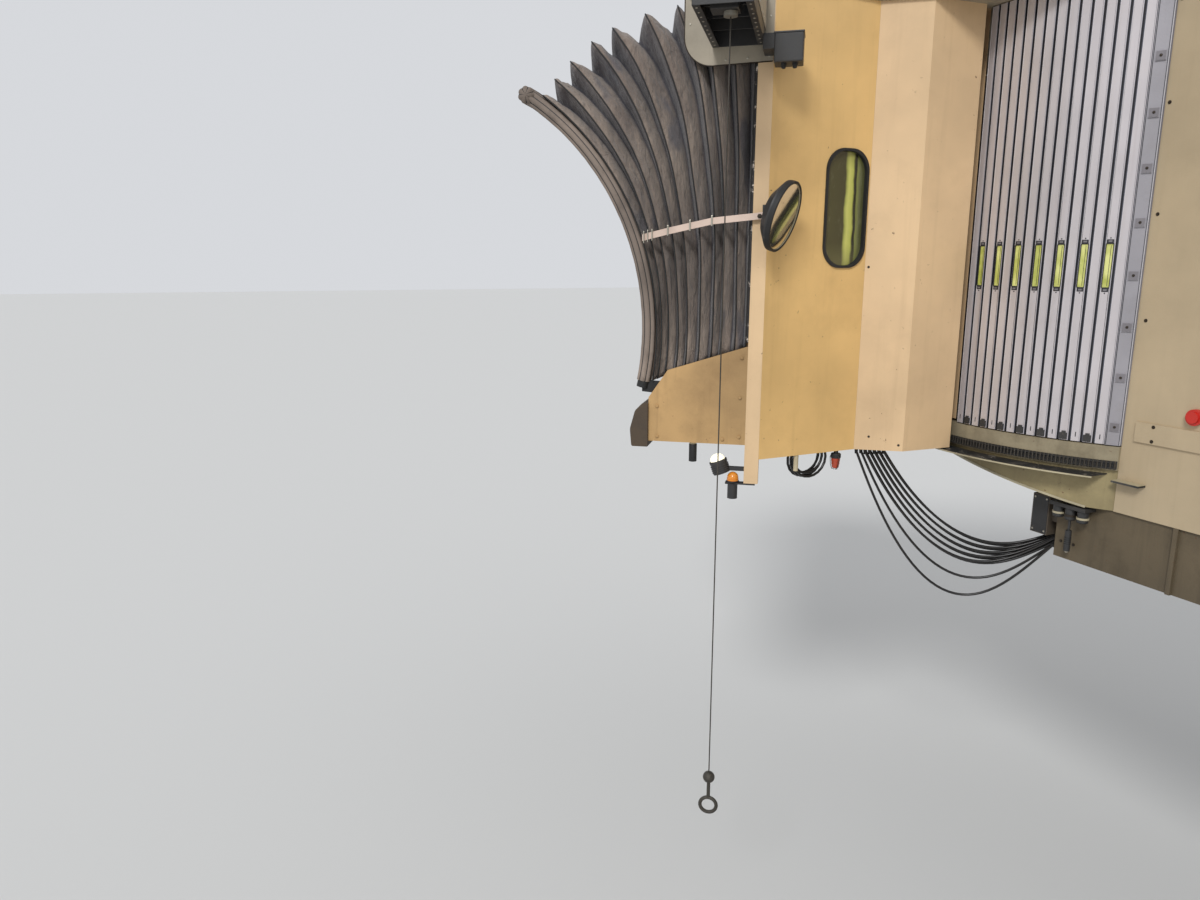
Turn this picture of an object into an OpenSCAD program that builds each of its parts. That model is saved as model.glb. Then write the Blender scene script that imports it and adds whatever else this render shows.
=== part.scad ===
// Passenger boarding bridge, real size, in millimetres
// Origin: ground centre of the terminal column. +X along the tunnel, +Y left, +Z up

/* [Levels] */
// Cab and tunnel floor above the apron
floor_z = 3900; // [3600:50:4200]
// Height of the curtains and side walls above the floor
wall_h = 2800; // [2700:20:2900]
// Underside of the outer tunnel's wall panels, below the floor
panel_drop = 560; // [500:10:600]

/* [Cab] */
// Rotation centre of the cab, from the terminal column
cab_x = 19000; // [18000:100:20000]
// Cab swung to the left of the tunnel's line
cab_turn = 52.5; // [40:0.5:60]
// Rotation centre to the rear of the front posts
post_x = 2930; // [2880:10:2980]
// Half the width over the front posts
front_half = 1850; // [1830:5:1870]
// Radius of the slat curtains
curtain_r = 1800; // [1790:5:1820]
// Front edge of the cab floor past the posts
floor_nose = 800; // [760:10:840]

/* [Curtains] */
// Slat pitch
slat_pitch = 73; // [70:1:78]
// Slat thickness
slat_t = 26; // [22:1:30]
// Width of the groove between slats
slat_groove = 9; // [7:1:11]

/* [Canopy] */
// Folds from the posts to the front edge
canopy_folds = 8; // [6:1:9]
// Depth of a fold
fold_depth = 150; // [120:5:170]
// Radius of the rounded aircraft side that the front edge follows
hull_r = 1880; // [1850:5:1900]

/* [Tunnels] */
// Half the width of the outer tunnel
outer_half = 1500; // [1490:5:1510]
// Bays of the outer tunnel
outer_bays = 6; // [6:1:6]
// Length of an outer bay
outer_bay = 1500; // [1450:10:1550]
// Half the width of the inner tunnel
inner_half = 1290; // [1270:5:1310]
// Radius of the terminal rotunda
rotunda_r = 1900; // [1850:10:1950]

/* [Running gear] */
// Wheel diameter
wheel_d = 1100; // [1050:10:1150]
// Wheels from the terminal column
gear_x = 14600; // [14300:100:14900]

/* [Hidden] */
$fn = 96;
e = 0.3;                          // seating gap between pieces of different nodes
gap = 8;                          // running gap under and over the turning cab
panel_t = 40;
portal_back = sqrt(curtain_r*curtain_r - outer_half*outer_half);
portal_x = cab_x - portal_back;   // cab end of the outer tunnel
outer_len = outer_bays*outer_bay;
outer_x0 = portal_x - outer_len;
inner_x0 = rotunda_r - 495;
inner_x1 = outer_x0 + 900;        // cab end of the inner tunnel
runner_bot = -400;                // outer tunnel's runners under the inner walls
nose_x = post_x + floor_nose;
post_w = 100;
post_bot = -480;
post_d = 60;
disc_r = curtain_r - slat_t - 22;
disc_t = 100;
ring_top = -(disc_t + 20);
ring_bot = -280;
ring_in = 1480;
box_ang = 31.4;                   // curtain's cab end from the cab's centre line
box_a = [post_x - 670, front_half - 540];
box_b = [post_x - 1020, front_half - 540];
box_c = (curtain_r + 78)*[cos(box_ang + 2.97), sin(box_ang + 2.97)];
box_in = box_c[1] - 300;
box_bot = -300;
portal_ang = 180 - asin(outer_half/curtain_r);
left_from = box_ang + cab_turn;
right_span = portal_ang - box_ang + cab_turn;
strip_ang = portal_ang - 1.65;
slot_w = 48;                      // window slots in every second slat
slot_h = 310;
slats_end = strip_ang - asin((45 + e)/(curtain_r - slat_t)) - 0.01;
slat_ang = slat_pitch/curtain_r*180/PI;
wall_len = norm([670, 540]);
wall_dir = atan2(-540, -670);
wall_u = [-670, -540]/wall_len;
wall_n = [540, -670]/wall_len;
win_x = 655;
win_z = 1440;
win_w = 181;
win_h = 400;
seal_out = 5;                     // window seal past the hole's edge, and inside it
seal_in = 12;
band_bot = -63;
band_top = 66;
roof_t = 90;
roof_z = wall_h + gap;
girder_bot = -1000;
girder_front = -570;              // cab end of the girders, from the rotation centre
girder_back = -6200;
bracket_top = -575;
canopy_half = front_half - 40;
pivot = [post_x + 655, 180];      // canopy hinge, forward and up
hull_c = [post_x + 870 + hull_r - 10, 600];
bow_r = 45;
bow_end = 57.5;                   // upper end of the front bow's side arcs
bow_start = -12.5;
bow_top = hull_c[1] + (hull_r + bow_r)*sin(bow_end);
canopy_x = post_x + post_w + 20;
canopy_top = wall_h - 40;
strap_len = 830;
cable_r = 9.5;
mirror_ang = 163;                 // way the mirror faces, from straight out of the cab
mirror_tilt = 17;                 // and down from upright
bow_clear = 16;                   // from the bow to the canopy's last row
pin_r = 20;
rack_ang = portal_ang - 0.55;
rim_from = 60;                    // angles of the curved beams under the ring
rim_to = 125;
tooth_ang = 1.5;
wheel_y = 620;
axle_r = 60;
beam_z = wheel_d + 60;             // underside of the cross beam
beam_h = 340;

// Helpers

module at_cab() {
    translate([cab_x, 0, floor_z]) rotate(cab_turn) children();
}

module at_pivot() {
    translate([cab_x, 0, floor_z]) children();
}

module both_sides() {
    children();
    mirror([0, 1, 0]) children();
}

module bar(x0, x1, y0, y1, z0, z1) {
    translate([x0, y0, z0]) cube([x1 - x0, y1 - y0, z1 - z0]);
}

module sector(r0, r1, a0, a1) {
    n = max(2, ceil((a1 - a0)/3));
    polygon([for (i = [0:n]) let (a = a0 + (a1 - a0)*i/n) r1*[cos(a), sin(a)],
        for (i = [n:-1:0]) let (a = a0 + (a1 - a0)*i/n) r0*[cos(a), sin(a)]]);
}

module in_wall() {
    translate([post_x, front_half, 0]) rotate(wall_dir) children();
}

// Terminal end

module base_plate() {
    color([0.45, 0.45, 0.43]) difference() {
        cylinder(h = 40, d = 1300);
        for (i = [0:7]) rotate(22.5 + 45*i) translate([550, 0, -1]) cylinder(h = 42, d = 39, $fn = 32);
    }
}

module terminal_column() {
    color([0.72, 0.66, 0.55]) {
        translate([0, 0, 40]) difference() {
            cylinder(h = floor_z - 600, d = 640);
            translate([0, 0, 30]) cylinder(h = floor_z - 600 - 60, d = 600);
        }
        translate([0, 0, floor_z - 560]) cylinder(h = 60, d = 1200);
        for (i = [0:7]) rotate(45*i) translate([318, -8, 40]) rotate([90, 0, 0])
            translate([0, 0, -16]) linear_extrude(16) polygon([[0, 0], [180, 0], [0, 300]]);
    }
}

module terminal_floor() {
    color([0.35, 0.35, 0.34]) translate([0, 0, floor_z]) {
        translate([0, 0, -120]) cylinder(h = 120, r = rotunda_r);
        difference() {
            translate([0, 0, -500]) cylinder(h = 380, r = rotunda_r - 60);
            translate([0, 0, -470]) cylinder(h = 350, r = rotunda_r - 100);
        }
    }
}

module terminal_walls() {
    color([0.75, 0.70, 0.60]) translate([0, 0, floor_z]) linear_extrude(wall_h - 200) {
        sector(rotunda_r - 60, rotunda_r, 43, 137);
        sector(rotunda_r - 60, rotunda_r, 223, 317);
    }
}

module terminal_roof() {
    color([0.70, 0.66, 0.58]) translate([0, 0, floor_z + wall_h - 200 + e]) {
        cylinder(h = 120, r = rotunda_r + 40);
    }
}

// Inner tunnel

module outside_rotunda() {
    difference() {
        children();
        translate([0, 0, -1000]) cylinder(h = 5000, r = rotunda_r + e, $fn = 360);
    }
}

module inner_floor() {
    color([0.33, 0.33, 0.32]) translate([0, 0, floor_z]) outside_rotunda() {
        bar(inner_x0 - 100, inner_x1, -inner_half + 44 + e, inner_half - 44 - e, -60, 0);
        for (i = [0:6]) let (x = inner_x0 + 760 + (inner_x1 - inner_x0 - 1020)*i/6)
            bar(x - 50, x + 50, -inner_half + 44 + e, inner_half - 44 - e, -300, -59);
    }
}

module inner_walls() {
    color([0.72, 0.66, 0.55]) translate([0, 0, floor_z]) both_sides() outside_rotunda() {
        bar(inner_x0 - 100, inner_x1, inner_half - 44, inner_half, -330, wall_h - 320);
        for (i = [1:5]) let (x = inner_x0 + (outer_x0 - inner_x0)*i/6)
            bar(x - 30, x + 30, inner_half - 1, inner_half + 12, -330, wall_h - 320);
    }
}

module inner_roof() {
    color([0.70, 0.66, 0.58]) translate([0, 0, floor_z + wall_h - 320 + e])
        outside_rotunda() bar(inner_x0 - 100, inner_x1, -inner_half, inner_half, 0, 60);
}

// Outer tunnel

module outer_floor() {
    color([0.30, 0.30, 0.29]) translate([0, 0, floor_z]) difference() {
        union() {
            bar(inner_x1 + 10, portal_x - 20, -outer_half + panel_t + e, outer_half - panel_t - e, -60, 0);
            for (i = [0:5]) let (x = inner_x1 + 300 + (portal_x - inner_x1 - 700)*i/5)
                bar(x - 50, x + 50, -outer_half + panel_t + e, outer_half - panel_t - e, runner_bot, -59);
            both_sides() bar(outer_x0, inner_x1 + 350, inner_half - 90, outer_half - panel_t - e,
                runner_bot, -330 - e);
        }
        translate([cab_x, 0, -1000]) cylinder(h = 2000, r = curtain_r + 12 + e, $fn = 360);
    }
}

module outer_walls() {
    color([0.69, 0.63, 0.53]) translate([0, 0, floor_z]) both_sides() {
        bar(outer_x0, portal_x, outer_half - panel_t, outer_half, -panel_drop, wall_h - 120);
        for (i = [1:outer_bays - 1], z = [[-panel_drop, band_bot - e], [band_top + e, wall_h - 120]])
            let (x = outer_x0 + outer_bay*i) bar(x - 35, x + 35, outer_half - 1, outer_half + 6, z[0], z[1]);
    }
}

module outer_roof() {
    color([0.70, 0.66, 0.58]) translate([0, 0, floor_z + wall_h - 120 + e])
        bar(outer_x0, portal_x, -outer_half, outer_half, 0, 80);
}

module portal_frames() {
    color([0.66, 0.60, 0.50]) translate([0, 0, floor_z]) {
        // cab end, inside the walls
        both_sides() bar(portal_x - 140, portal_x - e, outer_half - panel_t - 90, outer_half - panel_t - e,
            gap, wall_h - 120);
        bar(portal_x - 140, portal_x - e, -outer_half + panel_t + 90, outer_half - panel_t - 90,
            wall_h - 360, wall_h - 120);
        // rear end, around the inner tunnel
        both_sides() bar(outer_x0 - 60, outer_x0 - e, inner_half + 24, outer_half, -panel_drop,
            wall_h - 120);
        bar(outer_x0 - 60, outer_x0 - e, -outer_half, outer_half, wall_h - 120 - 120, wall_h - 40);
    }
}

module trim_bands() {
    color([0.64, 0.58, 0.48]) translate([0, 0, floor_z]) both_sides() {
        bar(outer_x0, portal_x - 86, outer_half + e, outer_half + 14, band_bot, band_top);
        bar(inner_x0 + 30, outer_x0 - 62, inner_half + 12 + e, inner_half + 22, band_bot, band_top);
    }
}

module girders() {
    color([0.37, 0.33, 0.24]) translate([0, 0, floor_z]) {
        both_sides() difference() {
            bar(cab_x + girder_back, cab_x + girder_front, outer_half - 240, outer_half - 20, girder_bot,
                -panel_drop - e);
            bar(cab_x + girder_back + 20, cab_x + girder_front - 20, outer_half - 200, outer_half - 60,
                girder_bot + 20, -panel_drop - 40);
        }
        both_sides() for (i = [0:4]) let (x = cab_x - 1420 - 1100*i)
            bar(x - 15, x + 15, outer_half - 20 - 1, outer_half + 2, girder_bot, -panel_drop - e);
        // cross members
        for (x = [cab_x + girder_front - 130, cab_x - 2400, cab_x + girder_back + 100])
            bar(x - 90, x + 90, -outer_half + 239, outer_half - 239, girder_bot + 60, -panel_drop - 60);
    }
}

// Fixed ring under the turning cab

module ring() {
    color([0.55, 0.50, 0.42]) at_pivot() {
        difference() {
            translate([0, 0, ring_bot]) cylinder(h = ring_top - ring_bot, r = curtain_r + 12);
            translate([0, 0, ring_bot - 1]) cylinder(h = ring_top - ring_bot + 2, r = ring_in);
            both_sides() bar(-2*curtain_r, -portal_back + e, outer_half - panel_t - e, 2*curtain_r,
                ring_bot - 1, ring_top + 1);
        }
        difference() {
            union() {
                translate([0, 0, -520]) cylinder(h = 520 - disc_t - 20, r = 330);
                for (a = [0, 90, 180, 270]) rotate(a + 45)
                    bar(280, ring_in + 40, -90, 90, ring_bot - 60, ring_bot + 100);
                bar(-700, -300, -300, 300, -520, ring_bot);
                bar(girder_front - 220, girder_front - 40, -outer_half + 240 + e, outer_half - 240 - e,
                    -panel_drop - 60 + e, ring_bot - 50);
            }
            translate([0, 0, -600]) cylinder(h = 600, r = 206);
        }
    }
}

module rack() {
    teeth = floor(2*rack_ang/tooth_ang);
    root = curtain_r + 12 + e;
    color([0.12, 0.12, 0.12]) at_pivot() translate([0, 0, ring_bot + 8]) linear_extrude(55) polygon(concat(
        [for (i = [0:teeth - 1], k = [0:3]) let (a = -rack_ang + tooth_ang*(i + [0, 0.35, 0.5, 0.85][k]))
            (root + [14, 14, 38, 38][k])*[cos(a), sin(a)]],
        [for (i = [teeth*2:-1:0]) let (a = -rack_ang + tooth_ang*i/2) root*[cos(a), sin(a)]]));
}

module rim_beams() {
    // curved beams from the girders out under the ring, tapering towards the cab
    color([0.60, 0.53, 0.42]) at_pivot() both_sides() intersection() {
        translate([0, 0, -panel_drop]) linear_extrude(panel_drop + ring_bot - e)
            sector(curtain_r - 200, curtain_r - 12, rim_from, rim_to);
        translate([0, 3000, 0]) rotate([90, 0, 0]) linear_extrude(3000)
            polygon([[1000, -200], [1000, ring_bot - 40], [190, ring_bot - 70], [150 - portal_back,
                -panel_drop],
                [2*e - portal_back, -panel_drop], [2*e - portal_back, -200]]);
    }
}

module edge_sheet() {
    // thin sheet that stands out past the ring, and its end ledge on the tunnel's side
    color([0.11, 0.11, 0.12]) at_pivot() both_sides() {
        difference() {
            translate([0, 0, box_bot - gap - 8]) linear_extrude(8)
                sector(curtain_r - 12 + e, curtain_r + 160, rim_from, rim_to);
            bar(-2*curtain_r, 60 - portal_back, 0, 2*curtain_r, -panel_drop, 0);
        }
        bar(-1190, -1000, outer_half + e, outer_half + 70, -350, -338);
    }
}

// Running gear

module lift_columns() {
    color([0.72, 0.66, 0.55]) translate([gear_x, 0, 0]) both_sides() {
        difference() {
            bar(-170, 170, outer_half + 60, outer_half + 400, beam_z + beam_h + 150, floor_z + wall_h + 120);
            bar(-145, 145, outer_half + 85, outer_half + 375, beam_z + beam_h, floor_z + wall_h + 90);
        }
        for (z = [floor_z - 500, floor_z + wall_h - 420])
            bar(-240, 240, outer_half + e, outer_half + 61, z, z + 260);
        bar(-240, 240, outer_half - 20 + e, outer_half + 61, floor_z + girder_bot + 30,
            floor_z - panel_drop - 40);
    }
}

module lift_rods() {
    color([0.55, 0.55, 0.53]) translate([gear_x, 0, 0]) {
        both_sides() {
            bar(-130, 130, outer_half + 100, outer_half + 360, beam_z, 3300);
            bar(-145 + e, 145 - e, outer_half + 85 + e, outer_half + 375 - e, 3100, 3301);
        }
        difference() {
            bar(-200, 200, -outer_half - 400, outer_half + 400, beam_z, beam_z + beam_h);
            bar(-170, 170, -outer_half - 370, outer_half + 370, beam_z + 30, beam_z + beam_h - 30);
        }
    }
}

module truck() {
    color([0.30, 0.29, 0.27]) translate([gear_x, 0, 0]) {
        translate([0, 0, beam_z - 60]) cylinder(h = 60 - e, r = 380);
        translate([0, 0, wheel_d/2]) cylinder(h = beam_z - 60 - wheel_d/2 + 1, r = 220);
        bar(-150, 150, -wheel_y + 210, wheel_y - 210, wheel_d/2 - 120, wheel_d/2 + 120);
        translate([0, 0, wheel_d/2]) rotate([90, 0, 0]) cylinder(h = 2*wheel_y + 420, r = axle_r,
            center = true);
    }
}

module wheel_hubs() {
    color([0.70, 0.62, 0.30]) translate([gear_x, 0, wheel_d/2]) both_sides()
        translate([0, wheel_y, 0]) rotate([90, 0, 0]) difference() {
            cylinder(h = 300, r = 300, center = true);
            cylinder(h = 320, r = axle_r + e, center = true);
            translate([0, 0, -151]) cylinder(h = 90, r = 240);
        }
}

module tyres() {
    color([0.08, 0.08, 0.08]) translate([gear_x, 0, wheel_d/2]) both_sides()
        translate([0, wheel_y, 0]) rotate([90, 0, 0]) rotate_extrude()
            polygon([[300 + e, -170], [430, -190], [wheel_d/2 - 30, -180], [wheel_d/2, -150],
                [wheel_d/2, 150], [wheel_d/2 - 30, 180], [430, 190], [300 + e, 170]]);
}

// Small pieces on the tunnel's cab end

module cable_bracket() {
    color([0.16, 0.16, 0.16]) at_pivot() {
        // terminal box ahead of the girder's end
        bar(girder_front + 50, girder_front + 190, outer_half - 110, outer_half + 10,
            bracket_top - 290, bracket_top);
        bar(girder_front + e, girder_front + 51, outer_half - 90, outer_half - 30, -760, -640);
    }
}

module plug_rail() {
    color([0.14, 0.14, 0.15]) at_pivot() {
        bar(girder_front - 290, girder_front - 10, outer_half - 20 + e, outer_half + 90,
            bracket_top - 26, bracket_top);
        for (i = [0:2]) translate([girder_front - 55 - 95*i, outer_half + 45, bracket_top - 105])
            cylinder(h = 80, r = 36, $fn = 48);
        translate([girder_front - 150, outer_half + 45, bracket_top - 200]) cylinder(h = 100, r = 9,
            $fn = 24);
        translate([girder_front - 150, outer_half + 45, bracket_top - 340]) cylinder(h = 150, r = 21,
            $fn = 32);
    }
}

module red_button() {
    color([0.75, 0.12, 0.10]) at_pivot() translate([-1446, outer_half + e, 150])
        rotate([-90, 0, 0]) { cylinder(h = 30, r = 50); cylinder(h = 45, r = 35); }
}

module curtain_strips() {
    color([0.66, 0.66, 0.64]) at_pivot() both_sides() {
        translate([0, 0, ring_top + gap]) linear_extrude(wall_h - 4 - ring_top - gap) difference() {
            union() {
                rotate(strip_ang) translate([curtain_r - slat_t - 14, -45]) square([slat_t + 26, 90]);
                translate([-portal_back - 5, outer_half - 28]) square([36, 28]);
            }
            translate([-portal_back - curtain_r + e, 0]) square([curtain_r, 2*curtain_r]);
        }
        rotate(strip_ang) for (i = [0:7])
            bar(curtain_r + 11, curtain_r + 22, -28, 29, 11 + 326*i - 28, 11 + 326*i + 29);
    }
}

// Cab

module cab_floor() {
    in0 = [post_x, front_half] + wall_n*(panel_t + e);
    half = [[900, box_in - e], [box_a[0] + e, box_in - e], [box_a[0] + e, box_a[1] - 60],
        in0 + wall_u*(wall_len - 30), in0 + wall_u*60, [post_x, front_half - post_d - e],
        [post_x + post_w + e, front_half - post_d - e], [post_x + post_w + e, front_half - 20 - e],
        [nose_x, front_half - 20 - e]];
    color([0.30, 0.29, 0.27]) at_cab() {
        translate([0, 0, -disc_t]) cylinder(h = disc_t, r = disc_r);
        difference() {
            translate([0, 0, -200]) linear_extrude(200) polygon(concat(half,
                [for (i = [len(half) - 1:-1:0]) [half[i][0], -half[i][1]]]));
            translate([0, 0, -1000]) cylinder(h = 1000 - disc_t, r = curtain_r + 60);
        }
    }
}

module cab_roof() {
    color([0.70, 0.66, 0.58]) at_cab() translate([0, 0, roof_z]) {
        cylinder(h = roof_t, r = curtain_r + 60);
        linear_extrude(roof_t) polygon([[0, -curtain_r], [box_c[0], -box_c[1] - 380], [box_b[0],
            -box_b[1] - 30],
            [box_a[0], -box_a[1] - 30], [post_x, -front_half], [post_x + post_w + 30, -front_half],
            [post_x + post_w + 30, front_half], [post_x, front_half], [box_a[0], box_a[1] + 30],
            [box_b[0], box_b[1] + 30], [box_c[0], box_c[1] + 380], [0, curtain_r]]);
        // lintel over the front opening
        bar(post_x + 5, post_x + post_w - 5, -front_half + post_d + e, front_half - post_d - e, -360, 1);
    }
}

module front_posts() {
    color([0.87, 0.73, 0.56]) at_cab() both_sides()
        bar(post_x, post_x + post_w, front_half - post_d, front_half, post_bot, roof_z - e);
}

module side_walls() {
    color([0.88, 0.70, 0.42]) at_cab() both_sides() difference() {
        in_wall() difference() {
            bar(0, wall_len - e, 0, panel_t, box_bot, roof_z - e);
            translate([win_x, 0, win_z]) rotate([90, 0, 0]) window_shape(win_w, win_h, 3*panel_t);
        }
        bar(post_x - e, post_x + post_w, front_half - 200, front_half + 1, box_bot - 1, roof_z);
        bar(0, box_a[0], 0, front_half, box_bot - 1, roof_z);
    }
}

module window_shape(hw, hh, t) {
    translate([0, 0, -t/2]) linear_extrude(t) union() {
        r = min(hw - 1, 150);
        square([2*hw, 2*(hh - r)], center = true);
        square([2*(hw - r), 2*hh], center = true);
        for (x = [-1, 1], y = [-1, 1]) translate([x*(hw - r), y*(hh - r)]) circle(r, $fn = 48);
    }
}

module window_seals() {
    color([0.05, 0.05, 0.05]) at_cab() both_sides() in_wall() translate([win_x, panel_t/2, win_z])
        rotate([90, 0, 0])
        difference() {
            union() {
                window_shape(win_w - e, win_h - e, panel_t + 4);
                translate([0, 0, panel_t/2 + 6]) window_shape(win_w + seal_out, win_h + seal_out, 11);
            }
            window_shape(win_w - seal_in, win_h - seal_in, 4*panel_t);
        }
}

module window_panes() {
    color([0.45, 0.48, 0.25, 0.5]) at_cab() both_sides() in_wall() translate([win_x, panel_t/2 + 2, win_z])
        rotate([90, 0, 0]) window_shape(win_w - seal_in - e, win_h - seal_in - e, 10);
}

module curtain_boxes() {
    w = 22;
    front = box_a[0] - e;
    color([0.87, 0.73, 0.56]) at_cab() both_sides() difference() {
        translate([0, 0, box_bot]) linear_extrude(roof_z - e - box_bot) polygon([[front, box_a[1]],
            box_b, box_c,
            box_c + [6, -96], box_c + [-50, -133], box_c + [-50, -155], [box_c[0] - 5, box_in], [front,
                box_in]]);
        translate([0, 0, w - disc_t]) linear_extrude(roof_z - e - 2*w + disc_t)
            polygon([[front - w, box_a[1] - w],
            box_b + [7, -w], box_c + [22, -12], box_c + [28, -107], box_c + [-26, -143], box_c + [-26, -158],
            box_c + [12, box_in + w - box_c[1]],
            [front - w, box_in + w]]);
        // clear of the fixed ring, and seated on the round floor
        translate([0, 0, -1000]) cylinder(h = 1000 - disc_t, r = curtain_r + 60);
        translate([0, 0, -disc_t - 1]) cylinder(h = disc_t + 1 + e, r = disc_r + e);
        // slot that the slats run out of
        translate([0, 0, ring_top - 10]) linear_extrude(wall_h - ring_top + 14)
            sector(curtain_r - slat_t - 12, curtain_r + 14, 28.5, 36);
    }
}

module closure_panels() {
    color([0.72, 0.58, 0.36]) at_cab() both_sides() {
        translate([0, front_half - 20, 0]) rotate([90, 0, 0]) translate([0, 0, -20]) linear_extrude(20)
            polygon([[post_x + post_w + e, -200], [nose_x, -200], [nose_x, 120], [post_x + 664, 320],
                [post_x + post_w + e, 500]]);
        translate([pivot[0], front_half - 19, pivot[1]]) rotate([90, 0, 0])
            cylinder(h = 100, r = pin_r, $fn = 48);
    }
}

module bumper() {
    color([0.16, 0.14, 0.11]) at_cab() rotate([90, 0, 0]) translate([0, 0, -front_half - 30])
        linear_extrude(2*front_half + 60)
            polygon([[nose_x + e, -240], [nose_x + 118, -240], [nose_x + 130, -120], [nose_x + 95, 20],
                [nose_x + 40, 78], [nose_x + e, 80]]);
}

module hood() {
    color([0.63, 0.59, 0.52]) at_cab() {
        both_sides() translate([0, front_half + 4, 0]) rotate([90, 0, 0]) linear_extrude(4 - e)
            polygon([[post_x + 5, 2350], [post_x + 400, 2340], for (a = [-80:10:0])
                [post_x + 400 + 185*cos(a), 2525 + 185*sin(a)], [post_x + 585, roof_z + 40],
                [post_x + 400, roof_z + roof_t + 200], [post_x + 5, roof_z + roof_t + 230]]);
        translate([0, front_half, 0]) rotate([90, 0, 0]) linear_extrude(2*front_half)
            polygon([[post_x + 5, roof_z + roof_t + 230], [post_x + 400, roof_z + roof_t + 200],
                [post_x + 585, roof_z + 40], [post_x + 582, roof_z + 37], [post_x + 399,
                    roof_z + roof_t + 196],
                [post_x + 5, roof_z + roof_t + 226]]);
        bar(post_x + 5, post_x + 9, -front_half, front_half, roof_z + roof_t + e, roof_z + roof_t + 228);
    }
}

module hoist_box() {
    color([0.20, 0.20, 0.21]) at_cab() {
        bar(post_x + 60, post_x + 400, front_half + 4 + e, front_half + 980, 2450, 2760);
        bar(post_x - 190, post_x - 10, front_half + 30, front_half + 200, 2300, 2480);
        bar(post_x - 11, post_x + 61, front_half + 4 + e, front_half + 200, 2380, 2480);
        translate([post_x + 200, front_half + 820, 2420]) cylinder(h = 31, r = 40, $fn = 32);
    }
}

module hoist_wire() {
    color([0.30, 0.29, 0.27]) at_cab() translate([post_x + 200, front_half + 820, -2290])
        cylinder(h = 2290 + 2420 - e, r = 4, $fn = 16);
}

module hoist_hook() {
    color([0.15, 0.14, 0.13]) at_cab() translate([post_x + 200, front_half + 820, -2330]) {
        sphere(r = 40 - e, $fn = 32);
        translate([0, 0, -150]) cylinder(h = 130, r = 12, $fn = 24);
        translate([0, 0, -210]) rotate([90, 0, 0]) rotate_extrude($fn = 48) translate([55, 0])
            circle(12, $fn = 20);
    }
}

module mirror_at() {
    at_cab() translate([post_x - 85, front_half + 180, 1370]) rotate(mirror_ang)
        rotate([0, 90 + mirror_tilt, 0])
        children();
}

module mirror_body() {
    color([0.10, 0.10, 0.10]) {
        mirror_at() difference() {
            union() {
                cylinder(h = 40, r = 228);
                translate([0, 0, -60]) cylinder(h = 60.01, r1 = 150, r2 = 228);
            }
            translate([0, 0, 26]) cylinder(h = 20, r = 215);
        }
        at_cab() {
            bar(post_x - 60, post_x + 36, front_half + e, front_half + 12, 1290, 1450);
            translate([post_x - 25, front_half + 11, 1370]) rotate([-90, 0, 0])
                cylinder(h = 155, r = 14, $fn = 24);
        }
    }
}

module mirror_glass() {
    color([0.75, 0.76, 0.74]) mirror_at() translate([0, 0, 26 + e]) cylinder(h = 10, r = 215 - e);
}

module floodlight() {
    color([0.25, 0.25, 0.24]) at_cab() {
        translate([post_x + 258, front_half - 30, -416]) rotate([0, 20, 0]) cylinder(h = 90, r = 62);
        bar(post_x + post_w, post_x + 258, front_half - 45, front_half - 15, -394, -366);
    }
}

module beacon_holder() {
    color([0.12, 0.12, 0.12]) at_cab() {
        bar(post_x + 20, post_x + 232, front_half - 58, front_half - 2, post_bot - e - 12, post_bot - e);
        translate([post_x + 180, front_half - 30, post_bot - 120]) cylinder(h = 110, r = 36, $fn = 48);
    }
}

module beacon() {
    color([0.85, 0.50, 0.10]) at_cab() translate([post_x + 180, front_half - 30, post_bot])
        rotate_extrude($fn = 48)
        polygon([[0, 0], [41, 0], [41, 30], for (a = [0:15:90]) [41*cos(a), 34 + 41*sin(a)]]);
}

module marker_lamp() {
    color([0.80, 0.25, 0.12]) at_cab() in_wall() translate([712, panel_t/2, box_bot - 135]) {
        cylinder(h = 80, r1 = 25, r2 = 36, $fn = 48);
        translate([0, 0, 79]) cylinder(h = 36, r = 37, $fn = 48);
        translate([0, 0, 114]) cylinder(h = 21 - e, r = 16, $fn = 32);
    }
}

module drain_stubs() {
    color([0.70, 0.65, 0.52]) at_cab() {
        in_wall() translate([346, panel_t/2, box_bot - 120]) cylinder(h = 120 - e, r = 17, $fn = 32);
        translate([post_x + 476, front_half - 45, -345]) cylinder(h = 145 - e, r = 25, $fn = 40);
    }
}

module king_pin() {
    color([0.50, 0.50, 0.50]) at_cab() {
        translate([0, 0, -560]) cylinder(h = 560 - disc_t - e, r = 200);
        translate([0, 0, -590]) cylinder(h = 60, r = 260);
    }
}

// Slat curtains between the cab and the tunnel

module curtain(a0, a1) {
    n = floor((a1 - a0)/slat_ang);
    g = slat_groove/curtain_r*180/PI;
    difference() {
        translate([0, 0, ring_top + gap]) linear_extrude(wall_h - ring_top - gap - e) {
            sector(curtain_r - slat_t, curtain_r - slat_t/2, a0, a1);
            for (i = [0:n - 1]) sector(curtain_r - slat_t/2 - 1, curtain_r,
                a1 - slat_ang*(i + 1) + g, a1 - slat_ang*i);
        }
        for (i = [1:2:n - 1]) rotate(a1 - slat_ang*(i + 0.5) + g/2)
            translate([curtain_r, 0, 1050]) cube([200, slot_w, slot_h], center = true);
    }
}

module curtain_left() {
    color([0.78, 0.76, 0.78]) at_pivot() curtain(left_from, slats_end);
}

module curtain_right() {
    color([0.78, 0.76, 0.78]) at_pivot() mirror([0, 1, 0]) curtain(portal_ang - right_span, slats_end);
}

// Cables hanging from the cab to the tunnel

function tube_pts(path, r, n) = [for (k = [0:len(path) - 1]) let (
    d = path[min(k + 1, len(path) - 1)] - path[max(k - 1, 0)], t = d/norm(d),
    s = cross([0, 1, 0], t), u = s/norm(s), v = cross(t, u))
    for (j = [0:n - 1]) path[k] + r*(cos(360*j/n)*u + sin(360*j/n)*v)];

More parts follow.
